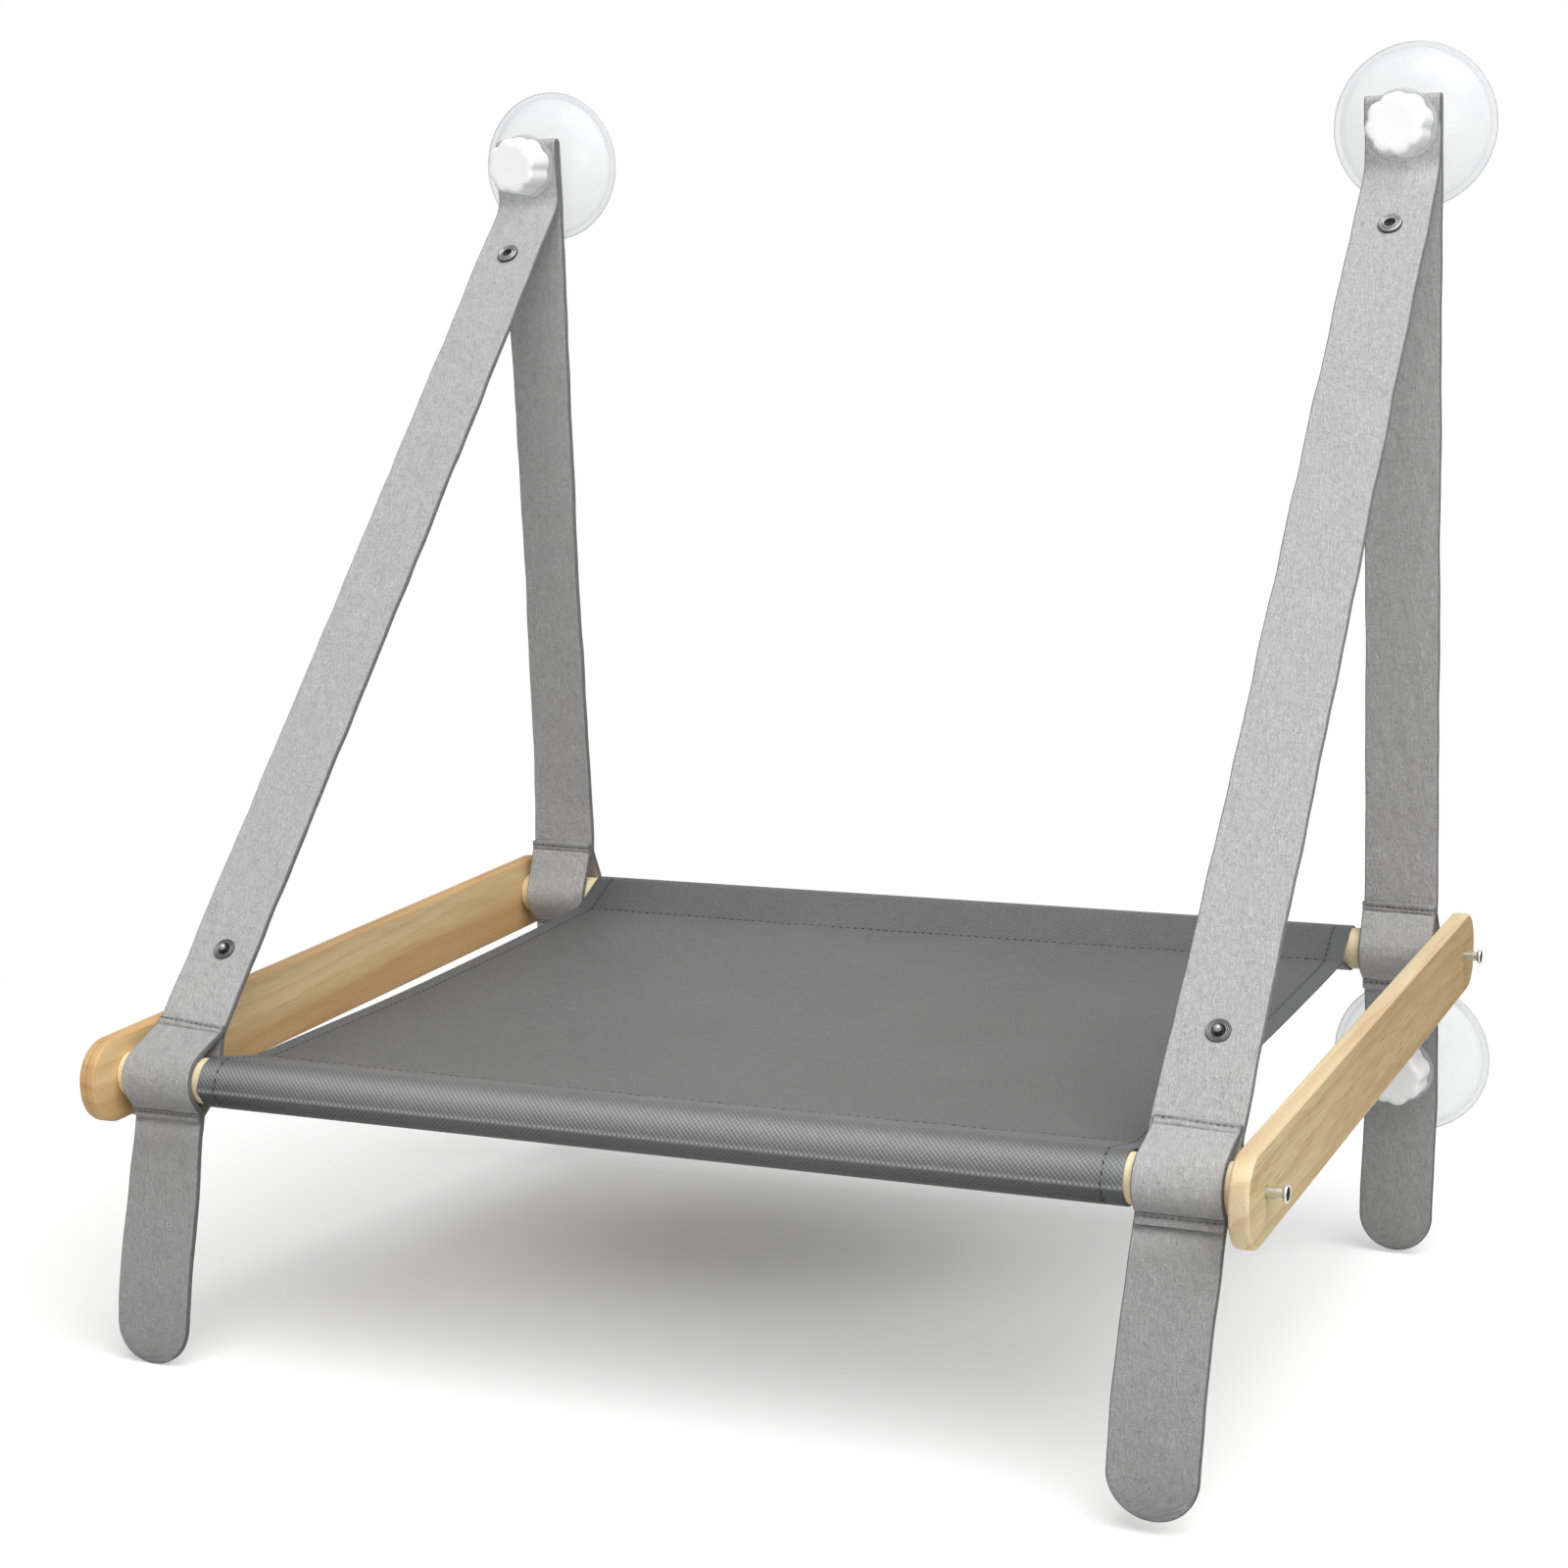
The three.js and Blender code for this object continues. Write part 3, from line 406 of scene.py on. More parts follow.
def makeBoard(side, sign):
    # Each half of the board is rings from its bolt hole out to the half's own outline, then round the
    # edge to the other face and back to the hole. The halves meet on a joint across the middle.
    toBolt = (backDowel[0] - frontDowel[0]) / 2
    high, corner, wide = board["height"] / 2, board["corner"][side], board["thickness"] / 2
    straight = toBolt + board["overhang"][side] - corner
    turn = quarter(board["cornerSteps"])
    steps = board["straightSteps"]
    length = np.concatenate([np.linspace(0, straight, steps), straight + corner * np.sin(turn)])
    rise = np.concatenate([np.full(steps, high), high - corner + corner * np.cos(turn)])
    joint = np.linspace(-high, high, board["jointPoints"] + 2)[1:-1]
    y = np.concatenate([length, length[-2::-1], 0 * joint])
    z = np.concatenate([rise, -rise[-2::-1], joint])
    onOutline = np.arange(len(y)) < len(y) - len(joint)
    rounded = y > straight
    normal = onOutline * np.stack([
        np.where(rounded, (y - straight) / corner, 0.0),
        np.where(rounded, (z - np.sign(z) * (high - corner)) / corner, np.sign(z))])
    heading = np.arctan2(z, y - toBolt)
    hole = board["holeRadius"] * np.stack([np.cos(heading), np.sin(heading)]) + np.array([[toBolt], [0]])
    outline = np.stack([y, z - board["lower"]])

    # rows from the hole of one face over the edge to the hole of the other, closed by the first row
    faceRows, edgeRows, soft = board["faceRows"], board["edgeRows"], board["edgeRound"]
    turn = quarter(edgeRows)
    share = np.concatenate([np.linspace(0, 1, faceRows) ** board["faceSpread"], np.ones(edgeRows)])
    inset = np.concatenate([np.full(faceRows, soft), soft - soft * np.sin(turn)])
    deep = np.concatenate([np.full(faceRows, wide), wide - soft + soft * np.cos(turn)])
    share = np.concatenate([share, share[::-1], share[:1]])[:, None, None]
    inset = np.concatenate([inset, inset[::-1], inset[:1]])[:, None, None]
    deep = np.concatenate([deep, -deep[::-1], deep[:1]])
    half = hole + share * (outline - normal * inset - hole)
    middleX = sign * (places["boardInnerX"] + wide)
    x = np.repeat(middleX + deep[:, None], len(y), axis=1)

    # round the edge the joint's columns would lie inside the board, so they have no faces there
    edge = slice(faceRows, faceRows + 2 * edgeRows)
    keep = np.ones((len(deep) - 1, len(y)), bool)
    keep[edge.start - 1:edge.stop, ~(onOutline & np.roll(onOutline, -1))] = False
    cells = gridFaces(len(deep), len(y), wrap=True)[keep.ravel()]
    points, faces = [], []
    for direction in (1, -1):
        faces.append(cells[:, ::direction] + len(points) * x.size)
        points.append(np.stack([x, middleY + direction * half[:, 0], dowelZ + half[:, 1]], axis=-1))
    rim = np.zeros(len(deep))
    rim[edge] = 1
    look = woodLook(f"{side}_board_pine", side, "y", pine[side]["pith"], middleX * mm)
    piece = makePiece(f"{side}_pine_board", points, np.concatenate(faces).tolist(), [look],
                      marks={"rim": np.tile(np.repeat(rim, len(y)), 2)}, sharp=50.0)
    fit(piece, "bed", "pine", f"{side}_side_board")


for side, sign in sides.items():
    makeBoard(side, sign)

dowel = {"radius": 11.0, "halfLength": 278.7, "chamfer": 0.9, "pocket": 5.8, "pocketDepth": 15.0}


def makeDowel(place, axis):
    # one half's profile from its pocket to the middle, and the same mirrored
    half, radius, pocket = dowel["halfLength"], dowel["radius"], dowel["pocket"]
    floor = half - dowel["pocketDepth"]
    profile = softened([(0, floor), (pocket, floor), (pocket, half), (radius, half), (radius, 0)],
                       [0.01, 0.3, dowel["chamfer"]])
    whole = np.concatenate([profile, profile[-2::-1] * (1, -1)])
    look = woodLook(f"{place}_dowel_pine", "dowel", "x", (axis[0] * mm + 0.02, dowelZ * mm - 0.06))
    piece = revolved(f"{place}_pine_dowel", whole, (0, *axis), (1, 0, 0), [look])
    fit(piece, "bed", "pine_dowel", f"{place}_dowel")


for place, axis in dowelAxes.items():
    makeDowel(place, axis)
print("boards and dowels made")


# Metal

def metalLook(name, colour, roughness, speck, bumpDistance=0.00004, metallic=0.92):
    # fine specks in a darker share of the metal's colour, and a gloss that wears in patches
    def varying(wire):
        grain = wire.place().noise(1500.0, 3.0, 0.7)
        wearAndShade = wire.place().noise(300.0, 3.0, 0.6)
        return {"Base Color": grain.rising(0.3, 0.7).colours(plain(colour, speck), plain(colour)),
                "Roughness": wearAndShade * 0.25 + (roughness - 0.12),
                "Normal": wire.bump(grain, bumpDistance, 0.5)}

    return makeMaterial(name, {"Metallic": metallic}, varying)


zincSteel = metalLook("zinc_steel", (220, 226, 222), 0.24, 0.92, metallic=0.85)
# near black steel that stands for painted shade in bolt dishes and key holes, snap wells, the spring and the
# cap post
shadeSteel = metalLook("painted_shade_steel", (52, 53, 55), 0.45, 0.6)
brass = metalLook("brass", (190, 158, 92), 0.35, 0.85)
gunmetal = metalLook("gunmetal", (118, 118, 119), 0.42, 0.3, 0.0001)
collarMetal = metalLook("collar_metal", (164, 164, 162), 0.34, 0.45)
turnedMetal = metalLook("turned_metal", (112, 112, 114), 0.42, 0.6)
ballMetal = metalLook("ball_metal", (170, 170, 168), 0.3, 0.7)

bolt = {
    "shank": 2.5,
    "head": 3.95,
    "standOff": 7.8,
    "headHeight": 1.3,
    "inside": 20.3,
    "key": 1.5,
    "keyDepth": 2.2,
    "keyTop": 1.9,
}


def makeBolt(side, sign, place, axis):
    # turned rings: a shank and a thin flanged head, dished at its end round a six-sided key hole
    shank, head, stand, inside = bolt["shank"], bolt["head"], bolt["standOff"], bolt["inside"]
    top = stand + bolt["headHeight"]
    outer = softened([
        (0, -inside), (shank - 0.5, -inside), (shank, -inside + 0.8), (shank, stand - 0.6),
        (head - 0.2, stand + 0.1), (head, stand + 0.5), (head - 0.15, top), (head - 0.75, top - 0.05),
        (head - 1.3, top - 0.7)], [0.1, 0.2, 0.4, 0.2, 0.2, 0.2, 0.15])
    dish = [(head - 1.7, top - 0.85), (bolt["keyTop"], top - 0.9)]
    angle = np.arange(72) * np.pi / 36
    sixSided = bolt["key"] / np.cos((angle % (np.pi / 3)) - np.pi / 6)
    depth = bolt["keyDepth"]
    keyHole = [(1, 0.95), (1, 1.0), (1, depth + 0.6), (0.4, depth + 0.8), (0, depth + 0.8)]
    rings = np.concatenate([outer, dish, [(0, top - low) for _, low in keyHole]])
    reach = np.repeat(rings[:, :1], len(angle), axis=1)
    reach[-len(keyHole):] = [share * sixSided for share, _ in keyHole]
    origin = (sign * (places["boardInnerX"] + board["thickness"]), *axis)
    piece = revolved(f"{side}_{place}_turned_bolt", rings, origin, (sign, 0, 0), [zincSteel, shadeSteel],
                     sharp=35.0, reach=reach)
    # the dish and the key hole are painted dark, as painted shade
    paint(piece, origin, (sign, 0, 0), lambda reach, high:
          (high > stand + 0.2) & (reach < head - 0.95) | (high > 5) & (high < top - 1.2) & (reach < 1.95))
    fit(piece, "bed", "bolt_steel", f"{side}_{place}_bolt")


for side, sign in sides.items():
    for place, axis in dowelAxes.items():
        makeBolt(side, sign, place, axis)
        recolour(f"{side}_{place}_insert", brass)
print("bolts made")


# Felt

felt = {
    "colour": 206,
    "dark": 0.69,
    "bright": 1.19,
    # painted shade: what is left of the tone on cut edges, in seams and bends and on the tails, and the dark
    # tone that takes its place
    "wearAndShade": (("cutEdge", 0.4, 0.02), ("press", 0.55, 0.03), ("tail", 0.7, 0.04)),
}


def feltLook(wire):
    # blotches, matted fibres, crossing hairs and fluff, with painted shade on cut edges, on the tails and in
    # seams and bends, where the felt is also pressed
    place = wire.clothPlace()
    blotch = place.noise(70.0, 3.0, 0.6)
    mottle = place.noise(260.0, 3.0, 0.6, 0.5)
    fibre = place.noise(620.0, 3.0, 0.65, 0.8)
    hairA = place.stretched((1, 0.2, 1), (0, 0, 0.7)).noise(1100.0, 2.0, 0.5, 1.2)
    hairB = place.stretched((1, 0.2, 1), (0, 0, -0.5)).noise(950.0, 2.0, 0.5, 1.2)
    hair = hairA.rising(0.5, 0.68) * 0.5 + hairB.rising(0.5, 0.68) * 0.5
    pits = mottle.rising(0.34, 0.42)
    fluff = place.noise(1250.0, 2.0, 0.7)
    light = (blotch.rising(0.3, 0.7) * 0.07 + mottle.rising(0.32, 0.68) * 0.17 + fibre.rising(0.3, 0.7) * 0.34
             + hair * 0.36 + pits * 0.08 + (fluff - 0.5) * 1.1 + 0.03)
    tone = light.colours(*(plain(felt["colour"], felt[share]) for share in ("dark", "bright")))
    for mark, left, dark in felt["wearAndShade"]:
        tone = (wire.attribute(mark) * (1 - left)).colours(tone, (dark, dark, dark, 1))
    return {"Base Color": tone,
            "Normal": wire.bump(mottle * 0.5 + fibre * 0.5 + hair * 0.5 + fluff * 0.5, 0.0007, 0.9)}


def threadLook(name, dark, bright):  # fibres between two tones
    return makeMaterial(name, {"Roughness": 0.8, "Specular IOR Level": 0.2}, lambda wire: {
        "Base Color": wire.place().noise(2500.0, 2.0).rising(0.3, 0.7).colours(plain(dark), plain(bright))})


feltCloth = makeMaterial(
    "felt", {"Roughness": 0.95, "Specular IOR Level": 0.15, "Sheen Weight": 0.08}, feltLook)
thread = threadLook("grey_thread", 92, 128)
darkThread = threadLook("dark_thread", 34, 60)

strap = {
    "width": 39.0,
    "thickness": 3.0,
    "edgeRound": 0.75,
    "edgeWave": 0.25,
    "layerStep": 3.3,
    "dowelGap": 0.3,
    "topRise": 15.3,
    "bendDrop": 21.7,
    "bendFrom": 3.5,
    "bendTo": (0.6, 5.0),  # its curve's corner and its end, below the bend point
    "bendFineAt": 0.5,
    "backRunFrom": 56.0,
    "flatAtCup": 17.3,
    "tailFrom": 16.5,
    "backTail": {"left": 130.0, "right": 148.0},
    "backTailLean": 14.0,
    "frontTail": {"left": (118.0, 29.0, 15.0), "right": (112.0, 44.0, 30.0)},  # length, lean, first angle
    "foldAt": 303.09,
    "jointAt": 62.0,
    "studAt": 72.0,
    "socketAt": 534.18,
    "turned": {"left": 9.0, "right": 0.0},
    "turnedBetween": (-45.0, -398.0),
    "columns": 63,
    "edgeSteps": 4,
    "endSteps": 29,
    "lumps": ((0.12, 28, 6), (0.09, 9, 7), (0.06, 4, 8)),  # height, size and seed
    "seamWidth": 0.85,
    "seamDepth": 0.55,
    "bendWidth": 0.7,
    "bendDepth": 0.45,
    "slantReach": 14.0,
    # painted shade on the tails and the front patches: how far it takes to come in, where it starts past a
    # tail's lower seam, and how far before a front patch's lower stitches it starts
    "tailFade": 12.0,
    "tailShadeAfter": 4.0,  # past the lower seam
    "patchShadeBefore": 14.0,
    "swingBlend": (6.0, 11.0),  # above and below the bend point
    "loopBlend": (7.0, 3.0),  # below and above the joint
}
# each tunnel's cut edges, stitches and bends above and below its dowel's axis, its upper seam's slant, and on
# the left front the share of painted shade over the whole patch
seams = {
    "left_back": {"edges": (32.5, 21.5), "stitches": (30.0, 18.2), "bends": (27.4, 16.0), "slant": 0.02},
    "right_back": {"edges": (26.7, 21.0), "stitches": (24.3, 17.6), "bends": (21.6, 15.3), "slant": 0.03},
    "left_front": {"edges": (30.4, 19.6), "stitches": (28.9, 17.4), "bends": (25.4, 15.4), "slant": 0.09,
                   "shade": 0.45},
    "right_front": {"edges": (28.6, 19.4), "stitches": (27.2, 15.8), "bends": (23.8, 13.6), "slant": 0.05},
}
# how far the felt of each lower run reaches past its cut width, on the left and on the right, along the run
wider = {
    "left": ((0, 150, 250, 330, 360, 440), (0, 0.8, 1.5, 0.6, 0.2, 0.2), (0, -1.0, -1.7, -0.8, 1.3, 1.4)),
    "right": ((0, 120, 205, 270, 330, 440), (0, 0.2, 1.2, 2.0, 0.8, 1.1), (0, 0, -0.2, 0.2, -0.3, -0.2)),
}
stitch = {
    "length": 2.3,
    "radius": 0.32,
    "pitch": 3.0,
    "margin": 1.6,
    "sunk": 0.12,
    "seated": 0.35,
    "stray": 0.1,
    "dipShare": 1.21,
    "flatShare": 1.15,
}


def towards(angle):  # one millimetre along an angle of the side view
    return np.array([math.cos(angle), math.sin(angle)])


def leftOf(heading):  # the heading turned by a quarter to its left
    return np.stack([-heading[..., 1], heading[..., 0]], axis=-1)


def angleOf(vector):
    return math.atan2(vector[1], vector[0])


def touch(point, radius, turn):  # the angle at which a line from a point touches a circle about the origin
    return angleOf(point) + turn * math.acos(radius / np.hypot(*point))


def lengths(line):  # how far along the line each of its points is
    return np.concatenate([[0], np.cumsum(np.hypot(*np.diff(line, axis=0).T))])


def followed(mark, marks, values):  # each column of values, known at marks, at the given mark
    return np.stack([np.interp(mark, marks, column) for column in values.T], axis=-1)


# the two layers of felt on the window, and the slanting run in front of them
rearLayerY, frontLayerY = -26.0, -29.3
tunnelRadius = dowel["radius"] + strap["dowelGap"] + strap["thickness"] / 2
bendPoint = np.array([frontLayerY - strap["thickness"] / 2, -strap["bendDrop"]])
toBend = bendPoint - frontDowel
runAngle = angleOf(toBend) + math.asin(strap["dowelGap"] / 2 / math.hypot(*toBend))
runDirection = towards(runAngle)
roomNormal = leftOf(runDirection)
runLength = float(toBend @ runDirection)
runMiddle = -strap["layerStep"] / 2


def onRun(distance, offset=runMiddle):
    # a point of the slanting run, by its distance up from the front dowel and its offset to the room
    return frontDowel + runDirection * distance + roomNormal * offset


def arc(centre, radius, start, end, count=40):  # points on a circle between two angles
    angle = np.linspace(start, end, count)
    return np.asarray(centre) + radius * np.stack([np.cos(angle), np.sin(angle)], axis=1)


def bezier(*corners):
    # a curve between the first and last corner: neighbours are blended until one line of points is left
    share = np.linspace(0, 1, 40)[:, None]
    while len(corners) > 1:
        corners = [a + (b - a) * share for a, b in zip(corners, corners[1:])]
    return corners[0]


def besideLine(axis, angle, distance, layer):
    # a point on a line that leaves the axis at the angle, moved to its left by half of so many layers
    heading = towards(angle)
    return axis + distance * heading + layer * strap["layerStep"] / 2 * leftOf(heading)


def seamPair(tunnel, kind, turn):
    # the points above and below a dowel where its felt is cut, stitched or bent; turn is 1 on the strap
    # and -1 on the patch
    axis, angles, seam = tunnel
    return [besideLine(axis, *at) for at in zip(angles, seam[kind], (-turn, turn))]


def tunnelWay(tunnel, turn):
    # from one seam in a straight line to the circle about the dowel, round it, and on to the other seam
    axis = tunnel[0]
    upEnd, downEnd = seamPair(tunnel, "bends", turn)
    start = touch(upEnd - axis, tunnelRadius, -turn)
    end = touch(downEnd - axis, tunnelRadius, turn)
    sweep = -turn * ((turn * (start - end) + 4 * math.pi) % (2 * math.pi))
    return np.concatenate([[upEnd], arc(axis, tunnelRadius, start, start + sweep), [downEnd]])


class Way:  # a smooth line in the side view, measured by its length
    def __init__(self, corners, soft=0.7, pace=0.2):
        corners = np.asarray(corners, float)
        steps = np.hypot(*np.diff(corners, axis=0).T)
        corners = corners[np.concatenate([[True], steps > 1e-4])]
        marks = lengths(corners)
        line = followed(np.linspace(0, marks[-1], int(marks[-1] / pace) + 2), marks, corners)
        reach = int(3 * soft / pace)
        weights = np.exp(-0.5 * (np.arange(-reach, reach + 1) * pace / soft) ** 2)
        ahead = 2 * line[-1] - line[-2:-2 - reach:-1]
        behind = 2 * line[0] - line[reach:0:-1]
        padded = np.concatenate([behind, line, ahead])
        smooth = [np.convolve(column, weights / weights.sum(), "valid") for column in padded.T]
        self.line = np.stack(smooth, axis=1)
        self.marks = lengths(self.line)
        self.length = self.marks[-1]
        heading = np.gradient(self.line, axis=0)
        self.heading = heading / np.hypot(*heading.T)[:, None]

    def at(self, mark):
        return followed(mark, self.marks, self.line)

    def left(self, mark):  # the normal on the left of the way
        along = followed(mark, self.marks, self.heading)
        return leftOf(along / np.linalg.norm(along, axis=-1, keepdims=True))

    def near(self, *points):  # the mark nearest to each point
        marks = [float(self.marks[np.argmin(np.hypot(*(self.line - point).T))]) for point in points]
        return marks if len(marks) > 1 else marks[0]

    def stations(self, fine, coarseStep=3.0, fineStep=0.5, reach=6.0, last=None):
        # marks that lie close together near the fine places and in bends, and wide apart elsewhere
        last = self.length if last is None else last
        even = np.linspace(0, last, int(last / 0.1) + 2)
        near = np.min([np.abs(even - f) for f in fine] + [np.full(len(even), 1e6)], axis=0)
        bendRate = np.interp(even, self.marks, np.hypot(*np.gradient(self.heading, self.marks, axis=0).T))
        step = fineStep + (coarseStep - fineStep) * np.clip((near - reach) / 12, 0, 1)
        step = np.minimum(step, np.maximum(0.12 / np.maximum(bendRate, 1e-6), 0.35))
        count = np.concatenate([[0], np.cumsum(np.diff(even) / step[1:])])
        return np.interp(np.linspace(0, count[-1], int(count[-1]) + 2), count, even)


def ridges(mark, centres, width):  # a sum of bell curves over the given marks
    return sum((bell(mark - centre, width) for centre in centres), np.zeros_like(mark))


def bothFaces(values):  # values of one face and edge, and their opposites for the other face and edge
    return np.concatenate([values, -values])


def makeBand(name, points, across, along, openEnds, look, marks, sharp):
    # Closed rows round a strip of cloth, with flat faces on its open ends. across and along place them on
    # the cloth, with one more column than the points have, where a row closes.
    rows, count = points.shape[:2]
    place = np.stack([across, along], axis=-1) * mm
    cloth = [place.reshape(-1, 2)[gridFaces(rows, count + 1)].reshape(-1, 2)]
    faces = gridFaces(rows, count, wrap=True).tolist()
    first = np.arange(count)
    for end in (first[::-1], first + (rows - 1) * count)[:openEnds]:
        faces.append(end.tolist())
        cloth.append(place[:, :-1].reshape(-1, 2)[end])
    return makePiece(name, points, faces, [look], np.concatenate(cloth), marks, sharp)


def feltStrip(name, way, middleX, sewn=(), bends=(), roundEnd=False, seed=1, shift=0.0, slant=0.0,
              wide=None, turned=None, tailFrom=None, shade=0.0, origin=0.0, fine=()):
    # A strip across the way: each station has a face of columns, a soft edge, the other face and the
    # other edge. The round end turns the stations' own circle, so that face and edge close on its tip.
    half, thick, soft = strap["width"] / 2, strap["thickness"] / 2, strap["edgeRound"]
    turn = quarter(strap["edgeSteps"])
    edgeHigh = thick - soft + soft * np.cos(turn)
    across = bothFaces(np.concatenate([np.linspace(-1, 1, strap["columns"]), np.ones(2 * len(turn))]))
    height = bothFaces(np.concatenate([np.full(strap["columns"], thick), edgeHigh, -edgeHigh[::-1]]))
    outset = soft * np.tile(np.concatenate([np.zeros(strap["columns"]), np.sin(turn), np.sin(turn[::-1])]), 2)
    side = np.where(outset > 0, 1.0, 0.0)
    straightEnd = way.length - (half if roundEnd else 0)
    rows = way.stations([*sewn, *bends, *fine], last=straightEnd)
    mark = np.repeat(rows[:, None], len(across), axis=1)
    ease = np.ones(len(rows))
    if roundEnd:
        tip = quarter(strap["endSteps"])
        mark = np.concatenate([mark, straightEnd + (half - soft + outset) * np.sin(tip)[:, None]])
        ease = np.concatenate([ease, np.cos(tip)])

    # the cut edges wander, the felt is lumpy, and it sinks at its seams and bends
    onCloth = mark - origin
    wave = strap["edgeWave"] * smoothNoise(onCloth, across * 40, seed, 45)
    if wide:
        at, leftMore, rightMore = wide
        wave = wave + np.where(across < 0, np.interp(mark, at, leftMore), np.interp(mark, at, rightMore))
    x = across * (half - soft + outset + wave) * ease[:, None]
    seamShare, bendShare = ridges(mark, sewn, strap["seamWidth"]), ridges(mark, bends, strap["bendWidth"])
    placed = mark + slant * x * ridges(mark, sewn[:1], strap["slantReach"])
    dimple = 0.62 + 0.38 * np.cos(2 * np.pi * x / stitch["pitch"])
    sink = strap["seamDepth"] * seamShare * dimple + strap["bendDepth"] * bendShare
    lump = sum(high * smoothNoise(onCloth, x, seed + more, size) for high, size, more in strap["lumps"])
    high = height + np.sign(height) * (lump - sink) * (1 - 0.5 * side)
    if turned:
        first, last, degrees = turned
        angle = np.radians(degrees) * np.sin(np.pi * np.clip((mark - first) / (last - first), 0, 1))
        x, high = x * np.cos(angle) + high * np.sin(angle), high * np.cos(angle) - x * np.sin(angle)
    flat = way.at(placed) + way.left(placed) * high[..., None]
    points = np.stack([middleX + x, flat[..., 0], flat[..., 1]], axis=-1)

    step = np.hypot(np.diff(x, axis=1), np.diff(height))
    girth = np.concatenate([x[:, :1], x[:, :1] + np.cumsum(step, axis=1)], axis=1)
    girth = np.concatenate([girth, girth[:, -1:] + soft], axis=1)
    along = np.concatenate([onCloth, onCloth[:, :1]], axis=1)
    # painted shade on the tail from where it starts, and over a whole patch by its shade share
    tail = np.zeros_like(mark)
    if tailFrom:
        tail = np.clip(shade + np.clip((mark - tailFrom) / strap["tailFade"], 0, 1), 0, 1)
    # painted shade on the cut edges, and in seams and bends, where the felt is also pressed
    marks = {"cutEdge": np.broadcast_to(side, x.shape), "tail": tail,
             "press": np.clip(seamShare + 0.9 * bendShare, 0, 1) * (1 - side)}
    openEnds = 1 if roundEnd else 2
    return makeBand(name, points, girth + shift, along + 3 * shift, openEnds, feltCloth, marks, 55.0)


def makeStitches(name, centres, headings, normals, look, length, sunk):
    # short threads: rings along each heading, thin at both ends, which dip into the cloth
    radius = stitch["radius"]
    along = np.array([-1, -0.8, -0.3, 0.3, 0.8, 1])
    thin = radius * np.array([0, 0.75, 1, 1, 0.75, 0])[:, None]
    dip = (-stitch["dipShare"] * along**4 * radius - sunk)[:, None]
    angle = np.arange(6) * np.pi / 3
    centres, headings, normals = (v[:, None, None] for v in (centres, headings, normals))
    up, out = dip + thin * np.sin(angle), stitch["flatShare"] * thin * np.cos(angle)
    points = (centres + along[:, None, None] * headings * length / 2 + up[..., None] * normals
              + out[..., None] * np.cross(headings, normals))
    faces = gridFaces(6, 6, wrap=True)[None] + (np.arange(len(centres)) * 36)[:, None, None]
    return makePiece(name, points, faces.reshape(-1, 4).tolist(), [look])


def seamStitches(way, mark, facing, middleX, slant):
    # one row of stitches across a strip, on its face toward the glass (1) or the room (-1)
    count = int((strap["width"] - 2 * stitch["margin"]) / stitch["pitch"])
    x = (np.arange(count) - (count - 1) / 2) * stitch["pitch"]
    drawn = np.random.default_rng(int(mark * 10))
    marks = mark + slant * x + drawn.normal(0, stitch["stray"], count)
    normal = way.left(marks)
    normal = normal * np.sign(normal[:, 0] * facing)[:, None]
    spot = way.at(marks) + normal * (strap["thickness"] / 2 - stitch["seated"])
    heading = np.column_stack([np.ones(count), slant * (way.at(marks + 0.5) - way.at(marks - 0.5))])
    heading /= np.linalg.norm(heading, axis=1)[:, None]
    return np.column_stack([middleX + x, spot]), heading, np.insert(normal, 0, 0, axis=1)


def sewTunnel(side, place, way, tunnel, body, shift):
    # the patch on the room side of a dowel, and the stitches through it and the strap behind it
    middleX, seam = sides[side] * places["strapX"], tunnel[2]
    above, below = seamPair(tunnel, "edges", -1)
    patchWay = Way([above, *tunnelWay(tunnel, -1), below])
    sewn = patchWay.near(*seamPair(tunnel, "stitches", -1))
    # the front patches have painted shade toward their lower stitches, and the left front one over all of it
    patch = feltStrip(f"{side}_{place}_tunnel_patch", patchWay, middleX, sewn,
                      patchWay.near(*seamPair(tunnel, "bends", -1)), seed=shift % 97, shift=shift,
                      slant=seam["slant"], shade=seam.get("shade", 0.0),
                      tailFrom=sewn[1] - strap["patchShadeBefore"] if place == "front" else None)
    fit(patch, body, "felt", f"{side}_{place}_patch")
    rows = []
    for line, marks, facing in ((patchWay, sewn, -1), (way, way.near(*seamPair(tunnel, "stitches", 1)), 1)):
        for mark, slant in zip(marks, (seam["slant"], 0.0)):
            rows.append(seamStitches(line, mark, facing, middleX, slant))
    stitches = makeStitches(f"{side}_{place}_seam_stitches", *map(np.concatenate, zip(*rows)), thread,
                            stitch["length"], stitch["sunk"])
    fit(stitches, body, "felt")


